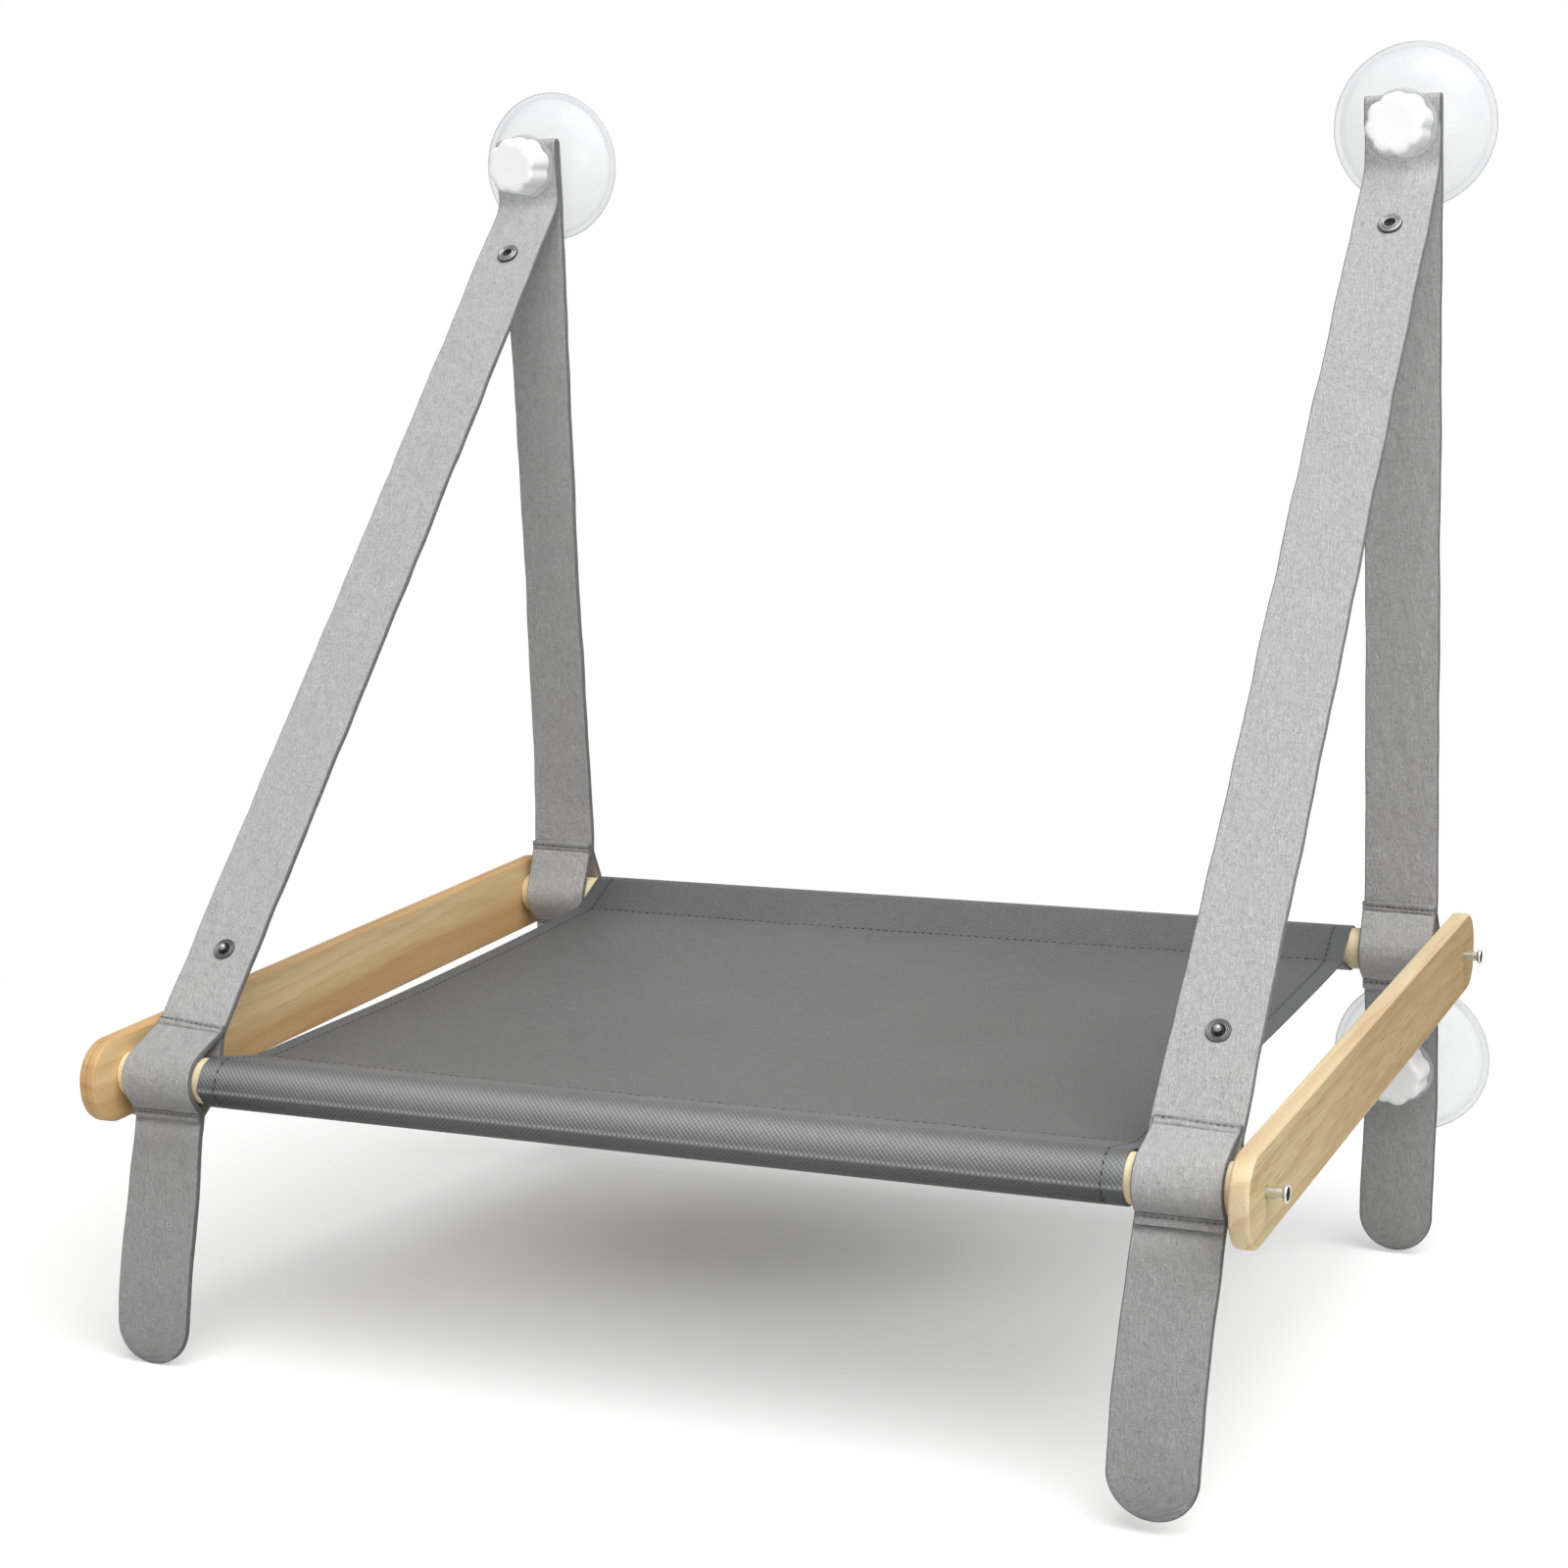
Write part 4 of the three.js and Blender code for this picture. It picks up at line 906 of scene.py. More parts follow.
def makeBackStrap(side, sign):
    # up behind the knob, over the top, down the window, round the back dowel and on to the tail
    tunnel = (backDowel, (math.pi / 2, -math.pi / 2), seams[f"{side}_back"])
    foldRadius = strap["layerStep"] / 2
    foldCentre = (rearLayerY - foldRadius, strap["topRise"] - foldRadius - strap["thickness"] / 2)
    aroundDowel = tunnelWay(tunnel, 1)
    seam = aroundDowel[-1]
    tailZ = dowelZ - strap["tailFrom"] - strap["backTail"][side]
    tailEnd = np.array([rearLayerY - strap["backTailLean"], tailZ])

    def onGlass(z):
        return np.array([rearLayerY, z])

    flatTop, flatBottom = onGlass(lowerCupZ + strap["flatAtCup"]), onGlass(lowerCupZ - strap["flatAtCup"])
    way = Way(np.concatenate([
        [(frontLayerY, 0)], arc(foldCentre, foldRadius, math.pi, 0),
        [onGlass(dowelZ + strap["backRunFrom"])], aroundDowel,
        bezier(seam, onGlass((seam[1] + flatTop[1]) / 2), flatTop),
        bezier(flatBottom, onGlass((flatBottom[1] * 3 + tailZ) / 4),
               np.array([tailEnd[0], (flatBottom[1] + tailZ) / 2]), tailEnd)]))
    sewn = way.near(*seamPair(tunnel, "stitches", 1))
    turned = (*way.near(*map(onGlass, strap["turnedBetween"])), strap["turned"][side])
    # the tail past the lower seam has painted shade
    run = feltStrip(f"{side}_strap_back_run", way, sign * places["strapX"], sewn, roundEnd=True,
                    seed=11 + sign, shift=90 + 40 * sign, slant=tunnel[2]["slant"], turned=turned,
                    tailFrom=sewn[1] + strap["tailShadeAfter"])
    fit(run, "root", "felt", f"{side}_back_strap")
    sewTunnel(side, "back", way, tunnel, "root", 300 + 30 * sign)


def makeFrontStrap(side, sign):
    # one band of felt in two pieces, which part at the fold of the slanting run
    middleX, shift, seed = sign * places["strapX"], 700 + 30 * sign, 41 + sign

    def placed(point):  # a point of the side view, in the strap's middle and in metres
        return (middleX * mm, point[0] * mm, point[1] * mm)

    # the upper half of the slanting run, from behind the knob round the bend to the fold
    bendStart = np.array([frontLayerY, -strap["bendDrop"] + strap["bendFrom"]])
    bend = bezier(bendStart, *(onRun(runLength - below) for below in strap["bendTo"]))
    way = Way(np.concatenate([[(frontLayerY, 0), bendStart], bend, [onRun(strap["foldAt"])]]), soft=0.9)
    upper = feltStrip(f"{side}_strap_upper_run", way, middleX, seed=seed, shift=shift, origin=way.length,
                      fine=[way.near(onRun(runLength - strap["bendFineAt"]))])
    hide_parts(f"{side}_front_strap_upper")
    above, below = strap["swingBlend"]
    placed((frontLayerY, -strap["bendDrop"] + above))
    placed(onRun(runLength - below))
    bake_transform(upper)

    # the lower half, the tunnel behind the front dowel and the front tail
    length, lean, startAngle = strap["frontTail"][side]
    downAngle = -math.pi / 2 - math.radians(startAngle)
    tunnel = (frontDowel, (runAngle, downAngle), seams[f"{side}_front"])
    tailStart = besideLine(frontDowel, downAngle, strap["tailFrom"], 1)
    drift = math.tan(math.radians(startAngle)) * length / 3
    tail = bezier(tailStart, tailStart - (drift, length / 3), tailStart - (lean, length * 2 / 3),
                  tailStart - (lean, length))
    way = Way(np.concatenate([[onRun(strap["foldAt"])], tunnelWay(tunnel, 1)[:-1], tail]))
    sewn = way.near(*seamPair(tunnel, "stitches", 1))
    # the tail past the lower seam has painted shade
    lower = feltStrip(f"{side}_strap_lower_run", way, middleX, sewn, roundEnd=True, seed=seed, shift=shift,
                      slant=tunnel[2]["slant"], wide=wider[side],
                      tailFrom=sewn[1] + strap["tailShadeAfter"])
    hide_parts(f"{side}_front_strap_lower", f"{side}_front_strap_loop")
    below, above = strap["loopBlend"]
    placed(onRun(strap["jointAt"] - below))
    placed(onRun(strap["jointAt"] + above))
    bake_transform(lower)
    sewTunnel(side, "front", way, tunnel, f"{side}_strap_loop", 900 + 30 * sign)


for side, sign in sides.items():
    makeBackStrap(side, sign)
    makeFrontStrap(side, sign)
print("straps sewn")


# Snaps

snap = {
    "capRadius": 6.0,
    "socketRadius": 6.2,
    "socketHeight": 2.2,
    "socketBore": 2.6,
    "studRadius": 5.7,
    "ball": 1.95,
    "studHeight": 4.2,
}


def socketRings():
    # a rim that falls to a groove, and a collar about the bore
    radius, bore, high = snap["socketRadius"], snap["socketBore"], snap["socketHeight"]
    return softened([
        (bore, 0), (radius - 0.3, 0), (radius, 0.35), (radius - 0.3, high - 0.7), (radius - 1.2, high - 0.35),
        (radius - 1.7, high - 0.95), (bore + 1.5, high - 0.9), (bore + 1.0, high), (bore + 0.35, high - 0.1),
        (bore, high - 0.8), (bore, 0)], [0.1, 0.15, 0.3, 0.3, 0.2, 0.2, 0.3, 0.25, 0.2])


def studRings():
    # a base with turned grooves, a neck and a ball
    radius, ball, high = snap["studRadius"], snap["ball"], snap["studHeight"]
    base = softened([
        (0, 0), (radius - 0.2, 0), (radius, 0.4), (radius - 0.3, 1.2), (radius - 0.8, 1.15), (4.5, 0.8),
        (4.1, 0.98), (3.7, 0.74), (3.3, 0.92), (2.9, 0.62), (1.9, 0.5), (1.45, 1.5)],
        [0.1, 0.15, 0.3, 0.2, 0.2, 0.12, 0.12, 0.12, 0.12, 0.3])
    return np.concatenate([base, arc((0, high - ball), ball, -0.7, np.pi / 2, 14)])


def makeSnap(side, sign, kind, distance, body):
    # rings about the run's normal; height 0 is the felt's room face
    origin = (sign * places["strapX"], *onRun(distance, runMiddle + strap["thickness"] / 2))
    normal = (0, *roomNormal)
    bore, high = snap["socketBore"], snap["socketHeight"]
    if kind == "socket":
        rings, looks = socketRings(), [gunmetal, collarMetal, shadeSteel]
        bright, above, well = snap["socketRadius"] - 0.55, high - 1.05, bore + 0.15
        # the spring is near black, as painted shade in the bore
        wire = softened([(bore - 0.1, high - 1.5), (bore - 0.7, high - 1.5), (bore - 0.7, high - 0.9),
                         (bore - 0.1, high - 0.9), (bore - 0.1, high - 1.5)], 0.2)
        fit(revolved(f"{side}_snap_spring", wire, origin, normal, [shadeSteel]), body, "snap_gunmetal")
    else:
        rings, looks = studRings(), [turnedMetal, ballMetal, shadeSteel]
        bright, above, well = snap["ball"] + 0.1, 2.0, 3.2
    front = revolved(f"{side}_snap_{kind}_front", rings, origin, normal, looks, sharp=30.0)
    # the socket's top and the stud's ball are brighter metal, with painted shade in the dark well inside
    paint(front, origin, normal, lambda reach, high:
          np.where((reach < bright) & (high > above), 1, np.where(reach < well, 2, 0)))
    fit(front, body, "snap_gunmetal", f"{side}_snap_{kind}")
    cap, rear = snap["capRadius"], -strap["thickness"] - 0.1
    rings = softened([(0, rear - 1.5), (cap - 1.3, rear - 1.5), (cap, rear - 0.5), (cap, rear), (1.7, rear),
                      (1.7, 0.6), (0, 0.6)], [1.0, 0.5, 0.1, 0.05, 0.2])
    back = revolved(f"{side}_snap_{kind}_back_cap", rings, origin, normal, [gunmetal, shadeSteel])
    # painted shade: the post is dark where it shows inside the snap
    paint(back, origin, normal, lambda reach, high: high > -0.5)  # its post is dark inside the socket
    fit(back, body, "snap_gunmetal", f"{side}_snap_{kind}_cap")


for side, sign in sides.items():
    makeSnap(side, sign, "socket", strap["socketAt"], f"{side}_strap_upper")
    makeSnap(side, sign, "stud", strap["studAt"], f"{side}_strap_lower")
print("snaps made")


# Plastic

clear = {"alpha": 0.17, "body": (206, 209, 211), "edge": (110, 116, 120)}


def clearLook(wire):
    # nearly clear where it is seen square on; greyer and denser where it is seen edge-on, as a painted dark
    # outline, and where its dense mark lies
    place = wire.place()
    facing = wire.node("LayerWeight", None, {"Blend": 0.5}, out=1)
    cloud = place.noise(60.0, 2.0)
    dense = wire.attribute("dense") * 0.5
    edge = facing.power(5.0) * 0.9
    return {"Base Color": (edge + dense).colours(plain(clear["body"]), plain(clear["edge"])),
            "Alpha": facing.power(3.5) * 0.5 + dense + cloud * 0.03 + clear["alpha"],
            "Roughness": cloud * 0.1 + 0.06,
            "Normal": wire.bump(place.noise(45.0, 1.0), 0.001, 0.12)}


def whiteLook(wire):  # smooth plastic with a faint grain
    place = wire.place()
    return {"Roughness": place.noise(200.0, 3.0) * 0.12 + 0.24,
            "Normal": wire.bump(place.noise(900.0, 2.0), 0.00003, 0.4)}


clearVinyl = makeMaterial(
    "clear_vinyl", {"Specular IOR Level": 0.6, "Coat Weight": 0.3, "Coat Roughness": 0.05}, clearLook)
whitePlastic = makeMaterial("white_plastic", {"Base Color": plain(247), "Specular IOR Level": 0.5}, whiteLook)

cup = {
    "radius": 42.5,
    "lip": 3.6,
    "hollow": 9.5,
    "dome": 15.5,
    "neck": 11.0,
    "neckTop": 24.2,
    "screwHole": 3.4,
    "flangeRadius": 8.3,
    "flangeFrom": 11.6,
    "rimRound": 1.0,
    "bead": ((2.4, 2.35), (3.4, 1.95), (4.2, 2.5)),  # in from the rim, and off the glass
}
washer = {"radius": 18.3, "thickness": 2.0, "fromFelt": 0.3, "denseAt": 16.9}
knob = {
    "base": 16.0,
    "face": 13.4,
    "height": 17.5,
    "bore": 12.0,
    "fromFelt": 2.6,
    "lobes": 8,
    "lobe": 0.66,
    "turned": 0.2,
}
fastenings = {"upper": (0.0, 30.8), "lower": (lowerCupZ, 27.5)}  # its height, and where the felt's face is


def makeCup(name, origin):
    # an inner dome, a thick soft lip, an outer dome and a neck, all turned about the screw
    lip, radius, neck, hole = cup["lip"], cup["radius"], cup["neck"], cup["screwHole"]
    share = np.linspace(0, 1, 14)
    inside = np.stack([(radius - lip) * share, cup["hollow"] * (1 - share**2)], axis=1)
    soft = cup["rimRound"]
    rim = arc((radius - soft, soft), soft, -np.pi / 2, np.pi / 2, 12)
    bead = [(radius - inward, high) for inward, high in cup["bead"]]
    share = np.linspace(0, 1, 18)
    rise = (1 - (1 - share) ** 2) ** 0.75
    reach = radius - 5.0 + (neck + 6.6 - radius) * share
    outside = np.stack([reach, 3.0 + (cup["dome"] - 3.0) * rise], axis=1)
    top, inner, flange = cup["neckTop"], cup["flangeFrom"], cup["flangeRadius"]
    stem = softened([outside[-1], (neck, cup["dome"] + 2.5), (neck, top), (hole, top), (hole, inner + 2.9),
                     (flange, inner + 2.8), (flange, inner), (0, inner)], [0.8, 0.8, 0.1, 0.1, 0.1, 0.1])
    rings = np.concatenate([inside, rim, bead, outside, stem[1:]])
    reach = rings[:, 0]
    dense = 0.65 * bell(reach - radius, 0.7) + 0.25 * bell(reach - radius + lip, 0.5)
    dense += 0.3 * (reach < neck + 0.5)
    piece = revolved(f"{name}_clear_cup", rings, origin, (0, -1, 0), [clearVinyl], dense=dense)
    return fit(piece, "root", "clear_vinyl", f"{name}_suction_cup")


def makeWasher(name, origin, face):
    # a flat ring with soft edges, denser near its rim as a painted outline
    rear, hole, radius = face + washer["fromFelt"], cup["screwHole"], washer["radius"]
    front = rear + washer["thickness"]
    rings = softened([(hole, rear), (radius, rear), (radius, front), (hole, front), (hole, rear)],
                     [0.5, 0.9, 0.3])
    dense = 1.6 * bell(rings[:, 0] - washer["denseAt"], 0.6)
    piece = revolved(f"{name}_clear_washer", rings, origin, (0, -1, 0), [clearVinyl], dense=dense)
    return fit(piece, "root", "clear_washer", f"{name}_washer")


def makeKnob(name, origin, face):
    # rings whose outline swells into soft lobes, which fade out over the rounded face
    base, brow, high, bore, hole = knob["base"], knob["face"], knob["height"], knob["bore"], cup["screwHole"]
    rings = softened([(hole, bore), (hole, 0), (base, 0), (base, 2.0), (brow + 1.2, high - 0.6),
                      (brow - 1.5, high), (brow - 6.0, high - 0.1), (0, high - 0.2)],
                     [0.2, 0.5, 1.0, 2.4, 1.4, 1.5], steps=8)
    rings = np.concatenate([[(0, bore)], rings])
    angle = np.arange(192) * np.pi / 96
    wave = np.cos(knob["lobes"] * angle) - 0.2 * (np.cos(2 * knob["lobes"] * angle) - 1)
    amount = knob["lobe"] * np.clip((rings[:, :1] - brow + 6.0) / 6.0, 0, 1) ** 1.5
    origin = (origin[0], -face - knob["fromFelt"], origin[2])
    piece = revolved(f"{name}_lobed_knob", rings, origin, (0, -1, 0), [whitePlastic],
                     phase=knob["turned"], reach=rings[:, :1] + amount * wave)
    return fit(piece, f"{name}_knob", "white_knob", f"{name}_knob")


palePieces = []
for side, sign in sides.items():
    for level, (height, face) in fastenings.items():
        name, origin = f"{side}_{level}", (sign * places["strapX"], 0, height)
        palePieces += [makeCup(name, origin), makeWasher(name, origin, face), makeKnob(name, origin, face)]
        recolour(f"{name}_screw", zincSteel)
print("cups and knobs made")


# Sling

sling = {
    "halfWidth": 230.5,
    "thickness": 0.9,
    "gap": 0.25,
    "sag": 1.8,
    "extraSag": 4.0,
    "free": 190.0,
    "frontSeam": 36.0,
    "backSeam": 29.0,
    "frontSeamZ": -429.8,
    "backSeamZ": -433.2,
    "underPast": 7.0,
    "hem": 9.5,
    "weave": 1.2,
    "stitchPitch": 4.6,
    "stitchLength": 2.6,
    "colour": 101,
    # the tone of the painted highlight on the crease
    "highlightTone": 222,
    "hemTone": (98, 103, 110),
    "bow": 0.5,
    "bowReach": 185.0,
    "backInset": {"left": 0.3, "right": 2.2},
    "insetReach": 30.0,
    "tuckGap": 0.15,
    "columns": 90,
    "hemColumns": 14,
    "hemFine": (3.0, 4.0),  # inside the hem's stitches, where its columns start and the others end
    "seamWidth": 1.0,
    "hemWidth": 0.9,
    "stitchesFrom": 10.0,
    "hemSeated": 0.14,
    "seamSeated": 0.12,
    "stitchSunk": 0.05,
    "creaseAngle": -177.5,
    "creaseOut": 2.0,
    "creaseRadius": 13.5,
    "seamDepth": 0.2,
    "hemDepth": 0.22,
    "ripple": 0.2,
    "puckers": ((0.22, 7, 9, 17), (0.2, 8, 10, 21)),  # at each seam: height, reach, seed and size
}


def slingLook(wire):
    # raised yarn crossings in a diagonal lattice, worn yarns and a slow change of tone, a bluish hem, painted
    # shade along the seams and hems, to the sides and under the crease, and a painted highlight on the crease
    place = wire.clothPlace()
    u, v, _ = place.parts()
    rate = math.pi / (sling["weave"] * mm)
    knots = (u * rate).sine() * (v * rate).sine() * 0.5 + 0.5
    slubU = place.stretched((1, 0.1, 1)).noise(800.0, 2.0)
    slubV = place.stretched((0.1, 1, 1)).noise(800.0, 2.0)
    cloud = place.noise(9.0, 2.0)
    spots = place.noise(120.0, 3.0)
    light = (knots.power(1.8) * 0.62 + (slubU - 0.5) * 0.3 + (slubV - 0.5) * 0.3 + (cloud - 0.5) * 0.35
             + (spots - 0.5) * 0.15 + 0.3)
    woven = light.colours(plain(sling["colour"], 0.55), plain(sling["colour"], 1.72))
    # painted shade along the seams and hems, to the sides and under the crease
    darker = wire.attribute("press") * 0.4 + wire.attribute("dim") * 0.3
    shadedWeave = darker.colours(woven, (0.02, 0.02, 0.02, 1))
    tinted = (wire.attribute("hemCloth") * 0.15).colours(shadedWeave, plain(sling["hemTone"]))
    # a painted highlight on the crease and above it
    highlighted = (wire.attribute("shine") * (knots * 0.5 + 0.5) * 0.5).colours(tinted, plain(sling["highlightTone"]))
    return {"Base Color": highlighted, "Roughness": 0.55 - knots * 0.12, "Normal": wire.bump(knots, 0.0004, 0.9)}


slingCloth = makeMaterial("sling_weave", {"Specular IOR Level": 0.32, "Sheen Weight": 0.05}, slingLook)
seamY = np.array([frontDowel[0] + sling["frontSeam"], backDowel[0] - sling["backSeam"]])
hemEdge = sling["halfWidth"] - sling["hem"]


def clothTop(y):
    # the side view of the cloth between its two seams: a straight line that hangs a little in the middle
    share = (y - seamY[0]) / (seamY[1] - seamY[0])
    return (sling["frontSeamZ"] + (sling["backSeamZ"] - sling["frontSeamZ"]) * share
            - 4 * sling["sag"] * share * (1 - share))


def sleeveWay(axis, seamY, ahead, crease):
    # From the seam under the top layer in a straight line to the dowel's circle, round it, and up to
    # where the top layer leaves it. A pressed crease stands off the dowel, with a straight flank on
    # each side. It is worked out for the front dowel, and the back one is its mirror image.
    radius = dowel["radius"] + sling["gap"] + sling["thickness"] / 2
    endY = np.linspace(seamY + ahead * sling["underPast"], seamY, 8)
    tuck = np.stack([endY, clothTop(endY) - sling["thickness"] - sling["tuckGap"]], axis=1)
    leave = touch((tuck[-1] - axis) * (ahead, 1), radius, -1)
    arrive = touch((np.array([seamY, clothTop(seamY)]) - axis) * (ahead, 1), radius, 1) - 2 * math.pi
    if crease:
        at, out = math.radians(sling["creaseAngle"]), radius + sling["creaseOut"]
        flank = math.acos(radius / out)
        turned = np.concatenate([arc((0, 0), radius, leave, at + flank, 110), [out * towards(at)],
                                 arc((0, 0), radius, at - flank, arrive, 60)])
    else:
        turned = arc((0, 0), radius, leave, arrive, 160)
    return np.concatenate([tuck, axis + turned * (ahead, 1)])


def edgeInset(y, sideways):
    # how far each side edge is drawn in: a little along the bed, and more on the back dowel
    along = np.clip(np.abs(y - middleY) / sling["bowReach"], 0, 1)
    bowed = sling["bow"] * (1 - along**2) * np.abs(sideways)
    gathered = bell(y - backDowel[0], sling["insetReach"])
    drawn = np.where(sideways > 0, sling["backInset"]["right"], sling["backInset"]["left"])
    return -np.sign(sideways) * (bowed + drawn * gathered * np.abs(sideways))


def hang(x, y, ripple=0.0):
    # how far the cloth hangs below its side view, most in its middle, and less where a ripple lifts it
    along = np.clip(np.abs(y - middleY) / sling["free"], 0, 1)
    return sling["extraSag"] * (1 - (x / sling["halfWidth"]) ** 2) * (1 - along**2) - ripple * (1 - along**4)


topY = np.linspace(*seamY, 120)
slingWay = Way(np.concatenate([
    sleeveWay(frontDowel, seamY[0], 1, True), np.stack([topY, clothTop(topY)], axis=1),
    sleeveWay(backDowel, seamY[1], -1, False)[::-1]]), soft=0.35)
slingSewn = slingWay.near(*np.stack([seamY, clothTop(seamY)], axis=1))
slingCrease = slingWay.near(frontDowel + sling["creaseRadius"] * towards(math.radians(sling["creaseAngle"])))


def pucker(mark, x):  # small waves that run out from both seams
    return sum(high * bell(mark - seam, reach) * smoothNoise(mark * 0.5, x, seed, size)
               for seam, (high, reach, seed, size) in zip(slingSewn, sling["puckers"]))


def ripple(mark, x):  # slow waves over the whole cloth
    return sling["ripple"] * smoothNoise(mark, x, 5, 130)


def slingMarks(mark, x, seamShare, hemShare):
    # Painted shade along the seams and the hems, where the cloth is also pressed, and under the crease; a
    # painted highlight on the crease and on the front of the dowel above it; and painted shade to both sides
    # and below the crease.
    past, aside, onLeft = mark - slingCrease, np.abs(x), x < 0
    under = 0.3 * np.clip(-past / 1.5, 0, 1) * np.exp(-np.clip(-past - 8, 0, None) / 4)
    press = np.clip(np.clip(seamShare * 0.3 + hemShare * 0.8, 0, 1) + under, 0, 1)
    above = 0.8 * bell(past - 9.4, 5.6) + 0.8 * bell(past, 0.8)
    shine = np.where(past > 0, np.clip(above, 0, 1), 0.8 * bell(past, 0.6))
    dim = np.clip((aside - 60) / 170, 0, 1) ** 1.5 * (0.75 + 0.7 * onLeft)
    dim = dim + np.clip((aside - 175) / 45, 0, 1) * (0.25 + 0.35 * onLeft)
    dim = dim + 1.7 * np.clip((-past - 1) / 9, 0, 1) * np.exp(-np.clip(-past - 12, 0, None) / 4)
    return {"press": press, "hemCloth": aside > hemEdge, "shine": shine, "dim": dim}


def makeSling():
    # a band round the cloth's way: the upper face, one edge, the lower face and the other edge
    rows = slingWay.stations([*slingSewn, slingCrease], coarseStep=4.5, fineStep=0.8, reach=3.0)
    half, thick, pitch = sling["halfWidth"], sling["thickness"] / 2, sling["stitchPitch"]
    start, end = (hemEdge - inside for inside in sling["hemFine"])
    hem = np.linspace(start, half - thick, sling["hemColumns"])
    columns = np.concatenate([-hem[::-1], np.linspace(-end, end, sling["columns"]), hem])
    turn = np.linspace(0, np.pi, 7)[1:-1]
    x = bothFaces(np.concatenate([columns, half - thick + thick * np.sin(turn)]))
    height = bothFaces(np.concatenate([np.full(len(columns), thick), thick * np.cos(turn)]))
    mark = np.repeat(rows[:, None], len(x), axis=1)
    across = np.broadcast_to(x, mark.shape)
    seamShare = ridges(mark, slingSewn, sling["seamWidth"])
    hemShare = bell(np.abs(across) - hemEdge, sling["hemWidth"])
    sink = (sling["seamDepth"] * seamShare * (0.7 + 0.3 * np.cos(2 * np.pi * across / pitch))
            + sling["hemDepth"] * hemShare * (0.7 + 0.3 * np.cos(2 * np.pi * mark / pitch)))
    outward = height * (1 - sink / thick) + pucker(mark, across)
    flat = slingWay.at(mark) + slingWay.left(mark) * outward[..., None]
    points = np.stack([across + edgeInset(flat[..., 0], across / half), flat[..., 0],
                       flat[..., 1] - hang(across, flat[..., 0], ripple(mark, across))], axis=-1)
    girth = x[0] + np.concatenate([[0], np.cumsum(np.hypot(np.diff(x), np.diff(height)))])
    girth = np.append(girth, girth[-1] + 0.5)
    piece = makeBand("sling_cloth", points, *np.broadcast_arrays(girth, rows[:, None]), 2, slingCloth,
                     slingMarks(mark, across, seamShare, hemShare), 35.0)
    return fit(piece, "bed", "sling_cloth", "sling")


def sewSling():
    # stitches: two hems along the whole cloth and two sleeve seams across it
    half, thick, pitch = sling["halfWidth"], sling["thickness"] / 2, sling["stitchPitch"]
    hemMarks = np.arange(sling["stitchesFrom"], slingWay.length - sling["stitchesFrom"], pitch)
    seamX = np.arange(-hemEdge + pitch, hemEdge - pitch, pitch)
    rows = []

    def sew(mark, x, above, lower, heading):  # one row, above the cloth's middle and lowered as it hangs
        here, out = slingWay.at(mark), slingWay.left(mark)
        spot = here + out * above - np.stack([0 * lower, lower], axis=1)
        rows.append((np.column_stack([x + edgeInset(here[:, 0], x / half), spot]), heading,
                     np.insert(out, 0, 0, axis=1)))

    for x in (-hemEdge, hemEdge):
        here, out = slingWay.at(hemMarks), slingWay.left(hemMarks)
        sew(hemMarks, x, thick - sling["hemSeated"], hang(x, here[:, 0], ripple(hemMarks, x)),
            np.column_stack([0 * hemMarks, out[:, 1], -out[:, 0]]))
    for seam in slingSewn:
        marks = np.full(len(seamX), seam)
        above = (thick - sling["seamSeated"] + pucker(marks, seamX))[:, None]
        sew(marks, seamX, above, hang(seamX, slingWay.at(marks)[:, 0]), np.tile((1.0, 0, 0), (len(seamX), 1)))
    stitches = makeStitches("sling_stitches", *map(np.concatenate, zip(*rows)), darkThread,
                            sling["stitchLength"], sling["stitchSunk"])
    return fit(stitches, "bed", "sling_cloth")


slingPiece = makeSling()
sewSling()
print("sling sewn:", round(slingWay.length), "mm of cloth")


# Studio

studio = {
    "floorPlace": (0, -0.04, -0.599),
    "floorTilt": -4.3,
    "floorSize": 9.0,
    "floorTone": 220,
    "floorGlow": 0.245,
    "edgeGlow": 0.2,
    "edgeReach": (0.02, 0.22),
    "shadowCentre": (-0.085, -0.12),
    "shadowDepthShare": 1.25,
    "shadowReach": (0.1, 0.62),
    "shadowGlow": 0.08,
    "whiteReach": (0.5, 1.05),
    "lampAim": (0, -0.23, -0.3),
    "skyLevel": 0.07,
}
lamps = {
    "softbox": {"from": (0.38, -0.31, 0.87), "distance": 4.6, "size": 5.5, "power": 290.0},
    "fill": {"from": (0.3, -0.92, 0.25), "distance": 3.0, "size": 2.0, "power": 31.0},
}


def emptyTree(owner):
    owner.use_nodes = True
    owner.node_tree.nodes.clear()
    return Wire(owner.node_tree)


def whereSeen(wire):  # 1 for rays that show the backdrop itself, by eye, in metal or through clear plastic
    path = wire.node("LightPath")
    rays = path + path.beside("Is Glossy Ray") + path.beside("Is Transmission Ray")
    return wire.worked("MINIMUM", rays, 1.0)


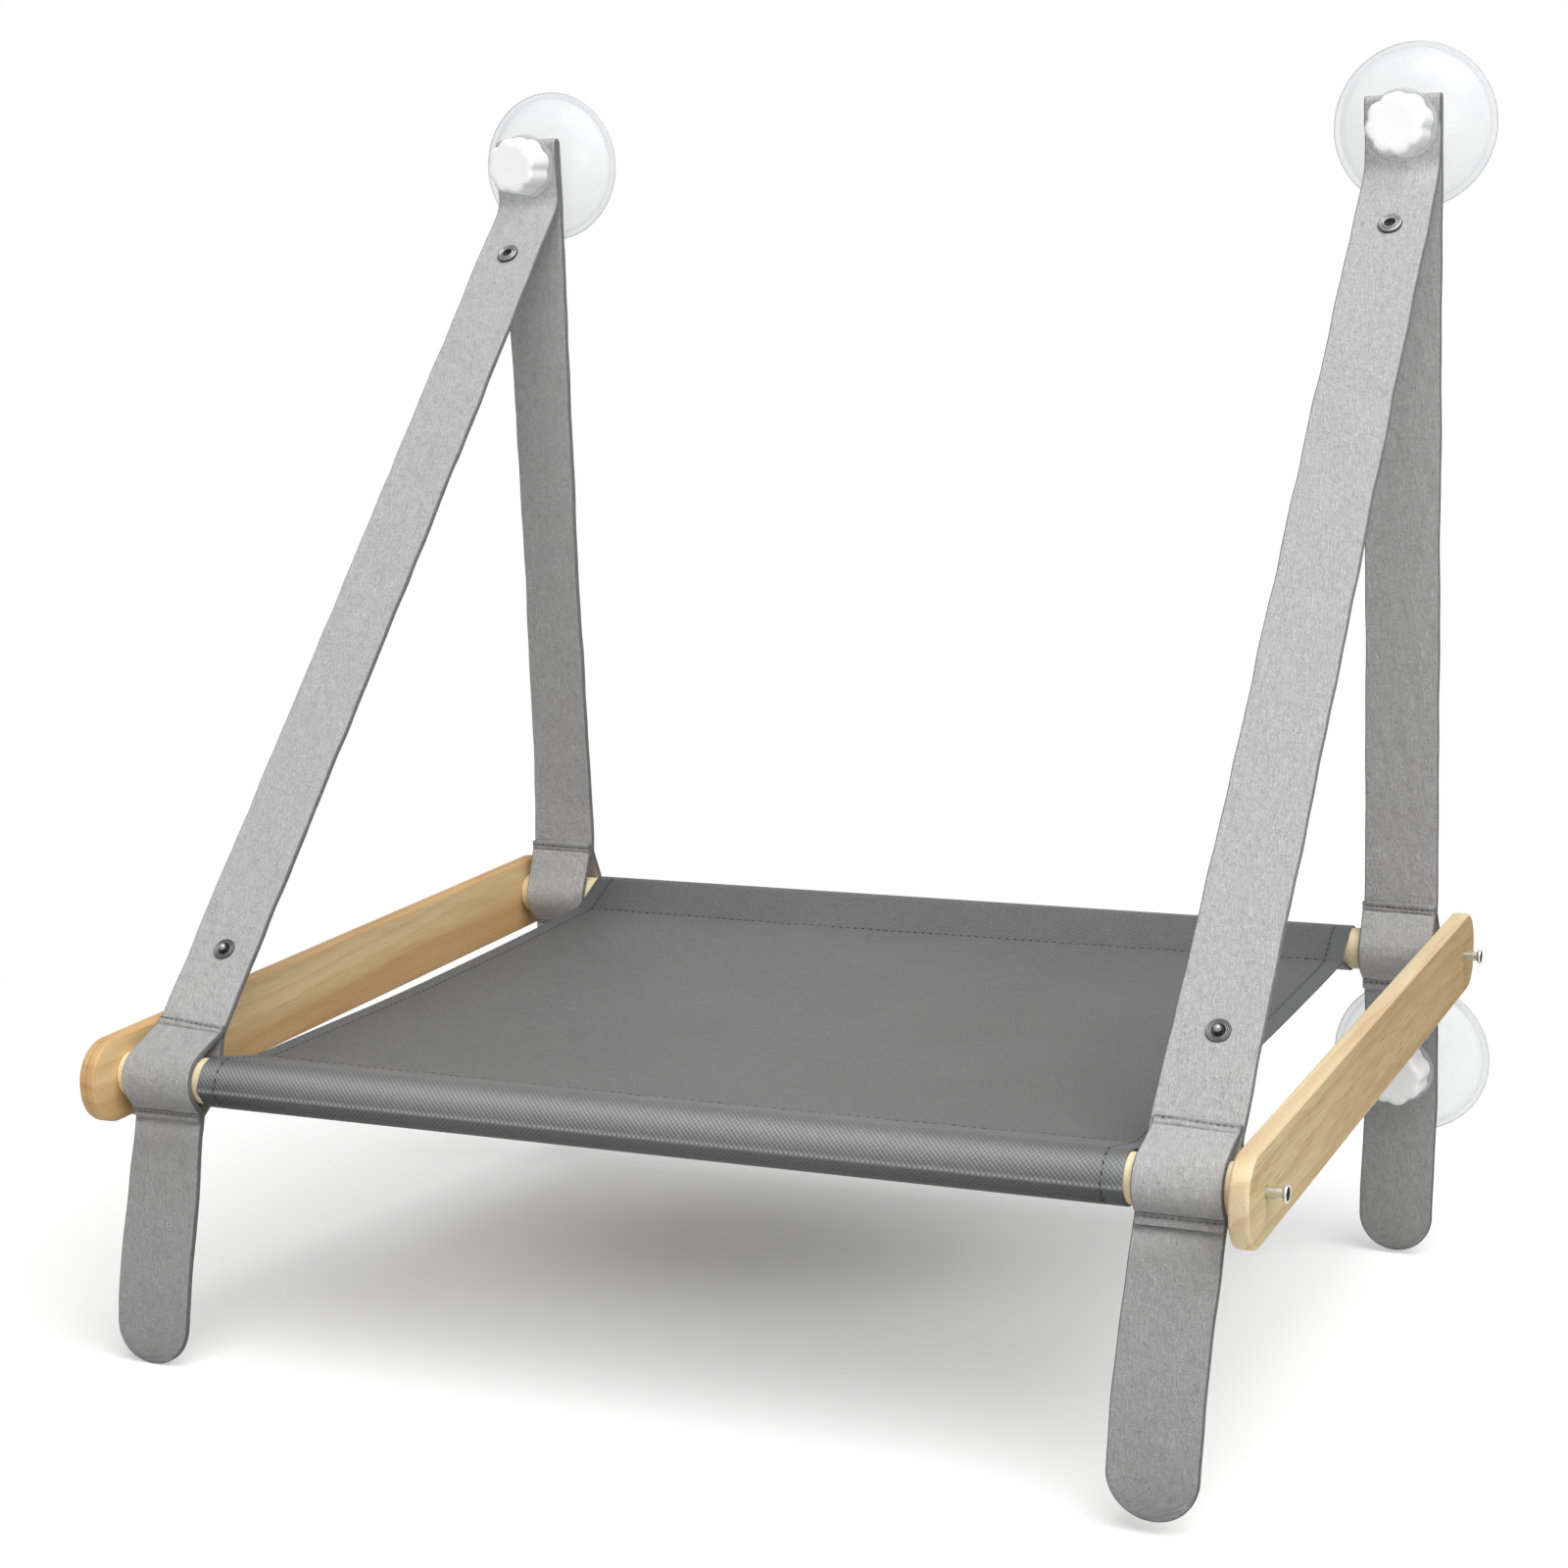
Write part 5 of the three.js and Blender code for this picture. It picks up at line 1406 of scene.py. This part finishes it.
def makeFloor():
    # pale paper that keeps the shadow near the hammock, with a painted glow, for the camera and reflections,
    # that grows away from the shadow's centre and fades it into white
    mesh = bpy.data.meshes.new("floor")
    size = studio["floorSize"]
    corners = [(-size, -size, 0), (size, -size, 0), (size, size, 0), (-size, size, 0)]
    mesh.from_pydata(corners, [], [(0, 1, 2, 3)])
    floor = addObject("floor", mesh)
    tilt = Matrix.Rotation(math.radians(studio["floorTilt"]), 4, "X")
    floor.matrix_world = Matrix.Translation(studio["floorPlace"]) @ tilt
    look = bpy.data.materials.new("pale_floor")
    wire = emptyTree(look)
    x, y, _ = wire.place().parts()
    centreX, centreY = studio["shadowCentre"]
    sideways, deep = x - centreX, (y - centreY) * studio["shadowDepthShare"]
    away = (sideways * sideways + deep * deep).root()
    seen = whereSeen(wire)
    paper = wire.node("BsdfDiffuse", None, {"Color": plain(studio["floorTone"])})
    paler = (away.rising(*studio["shadowReach"]) * studio["shadowGlow"]
             + away.rising(*studio["edgeReach"]) * studio["edgeGlow"] + studio["floorGlow"])
    glow = wire.node("Emission", None, {"Color": (1, 1, 1, 1), "Strength": seen * paler})
    lit = wire.node("AddShader", None, {0: paper, 1: glow})
    white = wire.node("Emission", None, {"Color": (1, 1, 1, 1), "Strength": 1.0})
    whiter = seen * away.rising(*studio["whiteReach"])
    mixed = wire.node("MixShader", None, {0: whiter, 1: lit, 2: white})
    wire.node("OutputMaterial", None, {"Surface": mixed})
    mesh.materials.append(look)


def makeSky():
    # white where the backdrop itself is seen, and a dim light everywhere else
    world = bpy.data.worlds.new("studio")
    bpy.context.scene.world = world
    wire = emptyTree(world)
    level = whereSeen(wire) * (1 - studio["skyLevel"]) + studio["skyLevel"]
    sky = wire.node("Background", None, {"Color": (1, 1, 1, 1), "Strength": level})
    wire.node("OutputWorld", None, {"Surface": sky})


def makeLamp(name):  # a round soft lamp that looks at the hammock's middle
    lamp = bpy.data.lights.new(name, "AREA")
    lamp.shape = "DISK"
    lamp.size = lamps[name]["size"]
    lamp.energy = lamps[name]["power"]
    back = np.array(lamps[name]["from"]) / np.linalg.norm(lamps[name]["from"])
    across = np.cross((0, 0, 1.0), back)
    across /= np.linalg.norm(across)
    box = addObject(name, lamp)
    place = studio["lampAim"] + back * lamps[name]["distance"]
    box.matrix_world = turnedTo(across, np.cross(back, across), place)
    return box


def collected(name, pieces):  # a collection of the given pieces
    group = bpy.data.collections.new(name)
    for piece in pieces:
        group.objects.link(piece)
    return group


def makeStudio():
    # pale plastic casts no shadow of the softbox, and the fill lamp lights it alone
    makeFloor()
    makeSky()
    solid = [piece for piece in bpy.context.scene.objects if piece.type == "MESH" and piece not in palePieces]
    makeLamp("softbox").light_linking.blocker_collection = collected("casts_shadow", solid)
    makeLamp("fill").light_linking.receiver_collection = collected("pale_plastic", palePieces)
    bpy.context.scene.view_settings.view_transform = "Standard"


makeStudio()
print("studio set")
